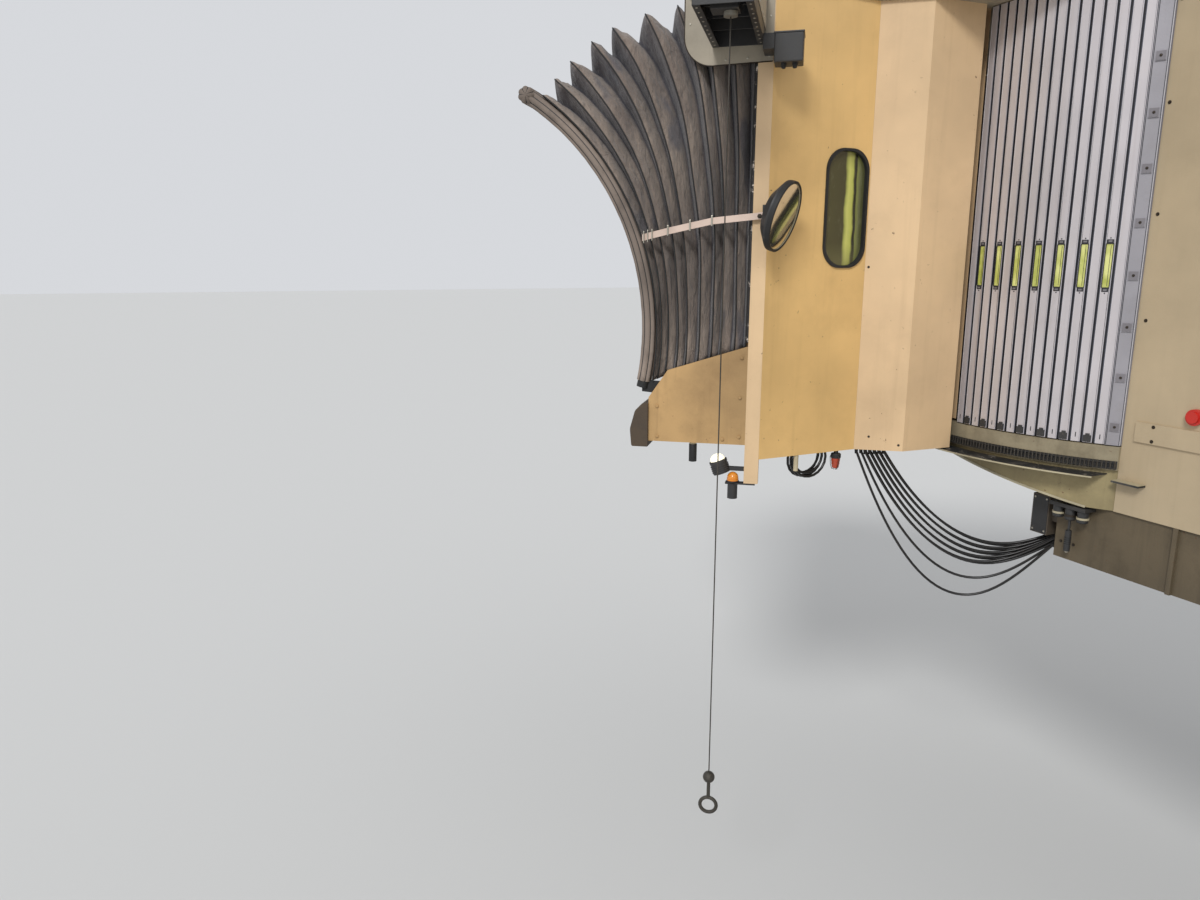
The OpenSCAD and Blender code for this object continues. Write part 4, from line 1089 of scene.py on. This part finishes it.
def swing_arc(radius, low, high, heights):
    """Points in the pivot's frame from angle low to high; heights gives z along x by straight lines."""
    out = []
    for k in range(ARC_STEPS + 1):
        a = math.radians(low + (high - low) * k / ARC_STEPS)
        x = radius * math.cos(a)
        for (xa, za), (xb, zb) in zip(heights, heights[1:]):
            if xa <= x <= xb or (xb, zb) == heights[-1]:
                z = za + (zb - za) * min(max((x - xa) / (xb - xa), 0), 1)
                break
        out.append(Vector((x, radius * math.sin(a), z)))
    return out


CHAIN_R, CHAIN_Z, LINK = 1.8245, -0.2445, 0.0254
reach = math.radians(math.degrees(PORTAL) - 0.7)
links = int(2 * reach * CHAIN_R / LINK)
pin = turned("pin", [(0.0075, -0.026), (0.0075, 0.026)], moved(CHAIN_R + 0.002, 0, CHAIN_Z), 8)
parts = [dress(pin, WIRE)]
for z in (CHAIN_Z - 0.02, CHAIN_Z + 0.016):
    plate = block("plate", CHAIN_R - 0.007, CHAIN_R + 0.008, -0.0122, 0.0122, z, z + 0.004, bevel=0)
    parts.append(dress(plate, DARK))
back = block("back", CHAIN_R - 0.012, CHAIN_R - 0.008, -0.0128, 0.0128, CHAIN_Z - 0.0272, CHAIN_Z + 0.0272,
             bevel=0)
parts.append(dress(back, DARK))
chain = on_arc("roller_chain", joined("link", parts), None, -reach, LINK / CHAIN_R, links + 1, ROUND)
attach(chain, "bridge")
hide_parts("rack")

BEAM_IN_R, BEAM_OUT_R, ARC_STEPS = 1.7895, 1.9605, 60
parts = []
for flip in (Matrix.Identity(4), MIRROR_Y):
    lower = swing_arc(BEAM_IN_R, 61.2, 118.2, [(-0.9, -0.5686), (0.19, -0.348), (1.0, -0.3185)])
    upper = swing_arc(BEAM_IN_R, 60.6, 117.9, [(-2, -0.284), (2, -0.284)])
    for line, tall in ((lower, 0.016), (upper, 0.007)):
        parts.append(dress(ribbon("edge", [ROUND @ (flip @ p) for p in line], tall, 0.004), EDGE))
    rim = swing_arc(BEAM_OUT_R, 60.4, 119.4, [(-2, -0.3115), (2, -0.3115)])
    parts.append(dress(ribbon("rim", [ROUND @ (flip @ p) for p in rim], 0.010, 0.003), EDGE))
    ledge = block("ledge", -1.188, -1.002, 1.5005, 1.568, -0.3378, -0.3352, bevel=0.001)
    ledge.data.transform(ROUND @ flip)
    tidy(ledge.data)
    parts.append(dress(ledge, EDGE))
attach(joined("beam_edges", parts), "bridge")

# Clips down the curtain's edge strips

CLIP_LOW, CLIP_STEP = 0.0115, 0.326
parts = []
for side in (1, -1):
    turn = ROUND @ rotated(side * STRIP_ANG, "Z")
    for i in range(8):
        z = CLIP_LOW + CLIP_STEP * i
        clip = block("clip", CURTAIN_R + 0.0222, CURTAIN_R + 0.0238, -0.026, 0.026, z - 0.026, z + 0.026,
                     turn, 0.0006)
        parts.append(dress(clip, CLIP))
        head_at = turn @ moved(CURTAIN_R + 0.0236, 0, z) @ rotated(math.pi / 2, "Y")
        screw = turned("screw", [(0.0085, 0), (0.0085, 0.003), (0.006, 0.0055), (0, 0.0062)], head_at, 12)
        parts.append(dress(screw, DARK_BOLT))
    # Lines down each strip: two dark joints, and a pale line that is painted highlight.
    for y, wide in ((-0.0395, 0.004), (0.036, 0.003), (0.0425, 0.002)):
        line = block("line", CURTAIN_R + 0.0118, CURTAIN_R + 0.0134, y - wide / 2, y + wide / 2, -0.108, 2.68,
                     turn, 0)
        parts.append(dress(line, GROOVE_DARK if y < 0.04 else RIDGE_HIGHLIGHT))
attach(joined("strip_clips", parts), "bridge")

# Bolts and screws

hex_profile = [(0.017, 0), (0.017, 0.003), (0.0125, 0.0031), (0.0125, 0.010), (0.009, 0.0125), (0, 0.0125)]
hex_bolt = turned("hex_bolt", hex_profile, sides=6, smooth=False)
washer_profile = [(0.013, 0), (0.013, 0.002), (0.009, 0.0021), (0.0085, 0.0055), (0, 0.007)]
washer_bolt = turned("washer_bolt", washer_profile, sides=10)
anchor_nut = [(0.032, 0.006), (0.0325, 0.009), (0.0325, 0.032), (0.028, 0.036)]
anchor = joined("anchor", [
    dress(turned("washer", [(0.042, 0), (0.042, 0.006)], sides=24), GREY),
    dress(turned("nut", anchor_nut, sides=6, smooth=False), GREY),
    dress(turned("stud", [(0.018, 0.03), (0.018, 0.075), (0.015, 0.078), (0, 0.078)], sides=16), GREY)])
cab_out, cab_left = CAB.to_3x3() @ Vector((1, 0, 0)), CAB.to_3x3() @ Vector((0, 1, 0))
panel_bolts = [(3.667, 0.058), (3.664, -0.163), (3.07, 0.42), (3.075, 0.138), (3.073, -0.143), (3.19, -0.165)]
panel_spots, box_spots = [], []
for side in (1, -1):
    for x, z in panel_bolts:
        panel_spots.append((in_cab(x, side * (FRONT_HALF + OFF_FACE), z), side * cab_left))
    for x, z in ((2.157, -0.199), (1.942, -0.255), (2.234, 1.041)):
        box_spots.append((in_cab(x, side * (BOX_HALF - 0.0002), z), side * cab_left))
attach(on_points("panel_bolts", hex_bolt, PANEL, panel_spots, 0.9), "cab")
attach(on_points("cab_screws", washer_bolt, DARK_BOLT, box_spots, 0.7, keep=True), "cab")

tunnel_spots = []
for side in (1, -1):
    out = (0, side, 0)
    for x, z in ((-1.023, 2.019), (-1.038, 1.363), (-1.05, 0.71), (-1.02, 2.6)):
        tunnel_spots.append((PIVOT + Vector((x, side * (TUNNEL_HALF + OFF_FACE), z)), out))
    for count, first, step, band in ((25, 8.2, 0.4, 1.5143), (18, 1.6, 0.35, 1.3123)):
        for k in range(count):
            for z in (-0.045, 0.048):
                tunnel_spots.append((Vector((first + step * k, side * band, FLOOR_Z + z)), out))
    for x in (-0.72, -0.62):
        tunnel_spots.append((PIVOT + Vector((x, side * (GIRDER_HALF + OFF_FACE), -0.88)), out))
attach(on_points("tunnel_screws", washer_bolt, DARK_BOLT, tunnel_spots, 0.9), "bridge")

ANCHORS, ANCHOR_RING, PLATE_TOP = 8, 0.55, 0.0402
parts = []
for k in range(ANCHORS):
    a = math.radians(22.5 + 360 / ANCHORS * k)
    copy = anchor.copy()
    copy.data = anchor.data.copy()
    at = moved(ANCHOR_RING * math.cos(a), ANCHOR_RING * math.sin(a), PLATE_TOP)
    copy.data.transform(at @ rotated(a, "Z"))
    parts.append(copy)
bpy.data.objects.remove(anchor)
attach(joined("anchor_nuts", parts), "bridge")

AXLE_X, WHEEL_R, NUTS, NUT_RING = 14.6, 0.55, 10, 0.165
wheel_spots = [(Vector((AXLE_X + x, side * 0.6813, WHEEL_R + z)), (0, side, 0))
               for side in (1, -1) for x, z in circle_points(NUTS, NUT_RING)]
nut_profile = [(0.019, 0), (0.019, 0.018), (0.015, 0.022), (0.010, 0.022), (0.010, 0.036), (0, 0.038)]
nut = turned("wheel_nut", nut_profile, sides=6, smooth=False)
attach(on_points("wheel_nuts", nut, GREY, wheel_spots), "bridge")

# Tyres with grooves round the tread and lugs across it

TREAD_R, GROOVE_R = 0.5435, 0.528
flank = [(0.3003, -0.17), (0.36, -0.186), (0.43, -0.19), (0.50, -0.186), (0.53, -0.176), (TREAD_R, -0.163)]
section = flank[:]
for z in (-0.105, -0.035, 0.035, 0.105):
    section += [(TREAD_R, z - 0.009), (GROOVE_R, z - 0.006), (GROOVE_R, z + 0.006), (TREAD_R, z + 0.009)]
section += [(r, -z) for r, z in reversed(flank)]
parts = []
for side in (1, -1):
    place = moved(AXLE_X, side * 0.62, WHEEL_R) @ rotated(math.pi / 2, "X")
    parts.append(dress(hoop("tyre", section, place, 96), TREAD))
    for z, first in ((-0.134, 0.0), (-0.07, 0.03), (0.0, 0.0), (0.07, 0.03), (0.134, 0.0)):
        wide = 0.019 if abs(z) > 0.1 else 0.024
        lug = block("lug", TREAD_R - 0.0025, TREAD_R + 0.0057, -0.020, 0.020, z - wide, z + wide, bevel=0.002)
        parts.append(dress(on_arc("lugs", lug, TREAD, first, math.radians(6), 60, place), TREAD))
tyres = joined("wheel_tyres", parts)
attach(tyres, "bridge")
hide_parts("tyres")

# Ribbed bumper across the cab's nose

NOSE = 3.73
BUMPER_HALF, RIB_PITCH, RIB_GAP = 1.88, 0.08, 0.007
nose_line = [(OFF_FACE, -0.24), (0.112, -0.24), (0.12, -0.232), (0.13, -0.12), (0.1275, -0.10),
             (0.096, 0.016), (0.088, 0.03), (0.045, 0.074), (0.034, 0.078), (OFF_FACE, 0.08)]
shape = [(NOSE + x, z) for x, z in nose_line]
n, verts, stations = len(shape), [], []
y = -BUMPER_HALF
while y < BUMPER_HALF - 0.0001:
    for ahead, inset in ((0.0, 0.0), (0.062, 0.0), (0.066, RIB_GAP), (0.076, RIB_GAP)):
        stations.append((min(y + ahead, BUMPER_HALF), inset))
    y += RIB_PITCH
stations = [q for q in stations if q[0] < BUMPER_HALF] + [(BUMPER_HALF, 0.0)]
for y, inset in stations:
    for x, z in shape:
        rise = inset if z < -0.23 else -inset if z > 0.05 else 0
        verts.append((x if x < NOSE + 0.01 else x - inset, y, z + rise))
faces = band_faces(len(stations), n)
faces += [tuple(range(n)), tuple((len(stations) - 1) * n + j for j in range(n))]
bumper = dress(piece("ribbed_bumper", verts, faces, CAB), BROWN_RUBBER)
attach(bumper, "cab")
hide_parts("bumper")

# Hoist arm: an open channel with its drum, and the switch box behind it

x0, x1, y0, y1, z0, z1 = 2.99, 3.33, 1.8545, 2.83, 2.45, 2.76
PLATE, DRUM_R, CORE_R, ROPE_R, ROPE_TURNS, SWITCH_Z = 0.006, 0.09, 0.055, 0.0042, 9, 2.30
parts = [dress(block("top", x0, x1, y0, y1, z1 - PLATE, z1, CAB, 0.002), HOOD)]
for x in (x0, x1 - PLATE):
    parts.append(dress(block("cheek", x, x + PLATE, y0, y1, z0, z1 - PLATE, CAB, 0.002), DARK))
for a, b in ((x0, x0 + 0.045), (x1 - 0.045, x1)):
    parts.append(dress(block("flange", a, b, y0, y1, z0 - 0.001, z0 + 0.005, CAB, 0.002), DARK))
for y in (y0, y1 - PLATE):
    parts.append(dress(block("end", x0, x1, y, y + PLATE, z0, z1 - PLATE, CAB, 0.002), DARK))
skirt = block("skirt", x0 - 0.004, x0 - 0.0002, y0 + 0.02, y1, z0 + 0.08, z1 + 0.004, CAB, 0.0015)
parts.append(dress(skirt, HOOD))
for y in (2.02, 2.3, 2.55):
    rib = block("rib", x0 + PLATE, x1 - PLATE, y, y + 0.012, z0 + 0.06, z1 - PLATE, CAB, 0.002)
    parts.append(dress(rib, DARK))
drum_at = CAB @ moved(x0 + 0.05, 2.67, 2.6) @ rotated(math.pi / 2, "Y")
drum = [(DRUM_R, 0), (DRUM_R, 0.012), (CORE_R, 0.014), (CORE_R, 0.11), (DRUM_R, 0.112), (DRUM_R, 0.124),
        (0.04, 0.13), (0.04, 0.24)]
parts.append(dress(turned("drum", drum, drum_at, 40), DARK))
for k in range(ROPE_TURNS):
    rope = [(CORE_R + x, 0.02 + 0.0095 * k + y) for x, y in circle_points(6, ROPE_R)]
    parts.append(dress(hoop("turn", rope, drum_at, 32), WIRE))
parts.append(dress(block("cradle", x0 + 0.09, x1 - 0.09, 2.60, 2.74, 2.449, 2.51, CAB, 0.004), DARK))
guide = [(0.04, 2.4202), (0.04, 2.446), (0.034, 2.452), (0.034, 2.47)]
parts.append(dress(turned("guide", guide, CAB @ moved(3.13, 2.67, 0), 32), BOLT))
parts.append(dress(block("switch_box", 2.74, 2.92, 1.88, 2.05, SWITCH_Z, 2.472, CAB, 0.008), DARK))
parts.append(dress(block("switch_lid", 2.736, 2.924, 1.876, 2.054, 2.468, 2.48, CAB, 0.004), DARK))
parts.append(dress(block("bracket", 2.9192, 2.991, 1.8545, 2.05, 2.38, 2.474, CAB, 0.004), DARK))
switch_gland = [(0, 2.268), (0.010, 2.268), (0.014, 2.272), (0.014, 2.286), (0.017, 2.288),
                (0.017, SWITCH_Z + 0.001)]
for x in (2.79, 2.86):
    parts.append(dress(turned("gland", switch_gland, CAB @ moved(x, 2.0, 0), 16), RUBBER))
hoist = joined("hoist_arm", parts)
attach(hoist, "cab")
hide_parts("hoist_box")
rivets = [(in_cab(x, y1 - 0.05 - 0.095 * k, z0 - 0.0008), (0, 0, -1)) for x in (x0 + 0.022, x1 - 0.022)
          for k in range(10)]
rivets += [(in_cab(x0 - 0.0041, y1 - 0.06 - 0.11 * k, z0 + 0.1), -cab_out) for k in range(8)]
rivets += [(in_cab(x, side * 1.8538, z), side * cab_left) for side in (1, -1)
           for x, z in ((2.96, 2.38), (3.1, 2.375), (3.24, 2.37), (3.48, 2.6), (3.48, 2.75), (2.96, 2.62))]
rivet = turned("rivet", [(0.0075, 0), (0.0068, 0.002), (0.004, 0.0035), (0, 0.0038)], sides=8)
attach(on_points("hoist_rivets", rivet, BOLT, rivets), "cab")

# Rubber edging round the hood's side plates

HOOD_X, HOOD_Z, HOOD_R = 3.33, 2.525, 0.1865
hood_line = [(2.936, 2.3485), (HOOD_X, HOOD_Z - HOOD_R)]
for k in range(-80, 1, 8):
    a = math.radians(k)
    hood_line.append((HOOD_X + HOOD_R * math.cos(a), HOOD_Z + HOOD_R * math.sin(a)))
hood_line.append((HOOD_X + HOOD_R, 2.843))
parts = [swept("edging", [in_cab(x, side * 1.8521, z) for x, z in hood_line], 0.0042, 8) for side in (1, -1)]
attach(joined("hood_edging", [dress(q, DARK_BOLT) for q in parts]), "cab")

# Mirror rim, lamps, beacon rings, front stub's sleeve and plugs

MIRROR = CAB @ moved(2.845, 2.03, 1.37) @ rotated(math.radians(163), "Z") @ rotated(math.radians(107), "Y")
gasket = [(0.2145, 0.0372), (0.2145, 0.0425), (0.2185, 0.0455), (0.226, 0.0455), (0.2305, 0.041),
          (0.2305, 0.012), (0.2283, 0.011), (0.2283, 0.0372)]
bead = [(0.2105, 0.0364), (0.2105, 0.0395), (0.2122, 0.041), (0.2142, 0.0395), (0.2142, 0.0364)]
parts = [dress(hoop("gasket", gasket, MIRROR, 72), RUBBER), dress(hoop("bead", bead, MIRROR, 72), EDGE)]
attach(joined("mirror_rim", parts), "cab")


def lamp_paint():
    """Lit frosted glass."""
    mat, tree, skin = blank("lamp_lens", 0.2)
    where = add(tree, "ShaderNodeTexCoord").outputs["Object"]
    frost = between(tree, clouds(tree, where, 30, 3), 0.4, 0.7, 0.5)
    colour = mixed(tree, frost, rgb(255, 250, 226), rgb(255, 236, 190))
    tree.links.new(colour, skin.inputs["Base Color"])
    tree.links.new(colour, skin.inputs["Emission Color"])
    skin.inputs["Emission Strength"].default_value = 0.8
    return mat


def red_lens_paint():
    """Dusty red plastic with fine ribs across it."""
    mat, tree, skin = blank("red_lens", 0.16)
    where = add(tree, "ShaderNodeTexCoord").outputs["Object"]
    ribs = add(tree, "ShaderNodeTexWave", {"Vector": where, "Scale": 34.0},
               bands_direction="Z").outputs["Fac"]
    dust = between(tree, clouds(tree, where, 22, 7, 0.7), 0.5, 0.7, 0.6)
    ribbed = mixed(tree, ribs, rgb(150, 48, 26), rgb(190, 74, 36))
    tree.links.new(mixed(tree, dust, ribbed, rgb(96, 62, 44)), skin.inputs["Base Color"])
    skin.inputs["Coat Weight"].default_value = 0.4
    return mat


LAMP_LENS = lamp_paint()
LAMP = CAB @ moved(3.188, 1.82, -0.416) @ rotated(math.radians(20), "Y")
dome = [(0.0535, 0.0903), (0.053, 0.104), (0.047, 0.122), (0.034, 0.136), (0.017, 0.143), (0, 0.145)]
bezel = [(0.054, 0.0903), (0.054, 0.097), (0.059, 0.099), (0.0655, 0.095), (0.0655, 0.078), (0.0623, 0.078),
         (0.0623, 0.0903)]
parts = [dress(turned("lens", dome, LAMP, 40), LAMP_LENS), dress(hoop("bezel", bezel, LAMP, 48), DARK)]
for z in (0.012, 0.027, 0.042, 0.057):
    fin = [(0.0622, z), (0.067, z), (0.067, z + 0.004), (0.0622, z + 0.004)]
    parts.append(dress(hoop("fin", fin, LAMP, 40), DARK))
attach(joined("floodlight_fittings", parts), "cab")

RED_LENS = red_lens_paint()
MARKER = WALL @ moved(0.712, 0.02, -0.435)
dome = [(0, 0), (0.018, 0.0005), (0.025, 0.006), (0.028, 0.028), (0.030, 0.030), (0.0305, 0.052),
        (0.0325, 0.054), (0.0335, 0.078)]
cap = [(0.0345, 0.0785), (0.037, 0.082), (0.037, 0.108), (0.032, 0.1145), (0.016, 0.1148), (0.016, 0.1345)]
parts = [dress(turned("lens", dome, MARKER, 32), RED_LENS), dress(turned("cap", cap, MARKER, 32), RUBBER)]
guard_line = [(0.034, 0.104), (0.0405, 0.085), (0.036, 0.03), (0.026, -0.004), (0.006, -0.009)]
for k in (20, 140, 260):
    c, d = math.cos(math.radians(k)), math.sin(math.radians(k))
    guard = [MARKER @ Vector((r * c, r * d, z)) for r, z in guard_line]
    parts.append(dress(swept("guard", guard, 0.0022, 6), WIRE))
marker = joined("left_marker", parts)
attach(marker, "cab")
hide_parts("marker_lamp")

BEACON = CAB @ moved(3.11, 1.82, -0.48)
base = [(0.0412, 0.0006), (0.046, 0.0006), (0.046, 0.009), (0.0412, 0.011)]
parts = [dress(hoop("base", base, BEACON, 40), RUBBER)]
for z in (0.016, 0.022, 0.028):
    parts.append(dress(hoop("ring", [(0.0411, z), (0.0428, z + 0.001), (0.0411, z + 0.002)], BEACON, 40),
                       AMBER))
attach(joined("beacon_rings", parts), "cab")

STUB_END = CAB @ moved(POST_X + 0.476, FRONT_HALF - 0.045, -0.345)
sleeve_ring = [(0.0252, 0.0), (0.0275, 0.0), (0.0285, 0.003), (0.0285, 0.127), (0.0275, 0.13), (0.0252, 0.13)]
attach(dress(hoop("stub_sleeve", sleeve_ring, STUB_END, 32), RUBBER), "cab")

PLUG_X, PLUG_STEP, PLUG_Y = -0.625, 0.095, 1.545
parts = []
for k, paint in enumerate((EDGE, DARK_BOLT, EDGE)):
    at = ROUND @ moved(PLUG_X - PLUG_STEP * k, PLUG_Y, -0.68)
    collar = [(0.0362, 0.02), (0.0405, 0.02), (0.0405, 0.034), (0.0362, 0.034)]
    parts.append(dress(hoop("collar", collar, at, 32), paint))
    parts.append(dress(turned("socket", [(0.03, -0.006), (0.034, -0.003), (0.034, -0.0002)], at, 32), RUBBER))
at = ROUND @ moved(PLUG_X - PLUG_STEP, PLUG_Y, -0.915)
tip = [(0, -0.014), (0.009, -0.012), (0.012, -0.004), (0.012, -0.0003)]
parts.append(dress(turned("tip", tip, at, 20), BOLT))
for z in (0.05, 0.065, 0.08, 0.095):
    parts.append(dress(hoop("grip", [(0.0212, z), (0.0235, z + 0.003), (0.0212, z + 0.006)], at, 24), RUBBER))
parts.append(dress(block("lid", -0.512, -0.388, 1.5103, 1.5145, -0.857, -0.583, ROUND, 0.002), DARK))
for x in (-0.498, -0.402):
    for z in (-0.84, -0.6):
        head_at = ROUND @ moved(x, 1.5143, z) @ rotated(-math.pi / 2, "X")
        parts.append(dress(turned("screw", [(0.007, 0), (0.007, 0.003), (0, 0.0045)], head_at, 10), BOLT))
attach(joined("plug_fittings", parts), "bridge")

# Studio

floor = bpy.data.objects.new("floor", bpy.data.meshes.new("floor"))
floor.data.from_pydata([(-200, -200, 0), (200, -200, 0), (200, 200, 0), (-200, 200, 0)], [], [(0, 1, 2, 3)])
bpy.context.scene.collection.objects.link(floor)
pale, _, pale_skin = blank("pale_floor", 0.9)
pale_skin.inputs["Base Color"].default_value = rgb(206, 206, 204)
dress(floor, pale)

world = bpy.data.worlds.new("soft_sky")
bpy.context.scene.world = world
world.use_nodes = True
world.node_tree.nodes["Background"].inputs["Color"].default_value = (0.94, 0.96, 1.0, 1)
world.node_tree.nodes["Background"].inputs["Strength"].default_value = 0.72

sun = bpy.data.objects.new("sun", bpy.data.lights.new("sun", "SUN"))
sun.data.energy, sun.data.angle = 1.7, 0.25
sun.rotation_euler = Vector((0.75, -0.80, -0.85)).to_track_quat("-Z", "Y").to_euler()
bpy.context.scene.collection.objects.link(sun)
bpy.context.scene.view_settings.view_transform = "Standard"
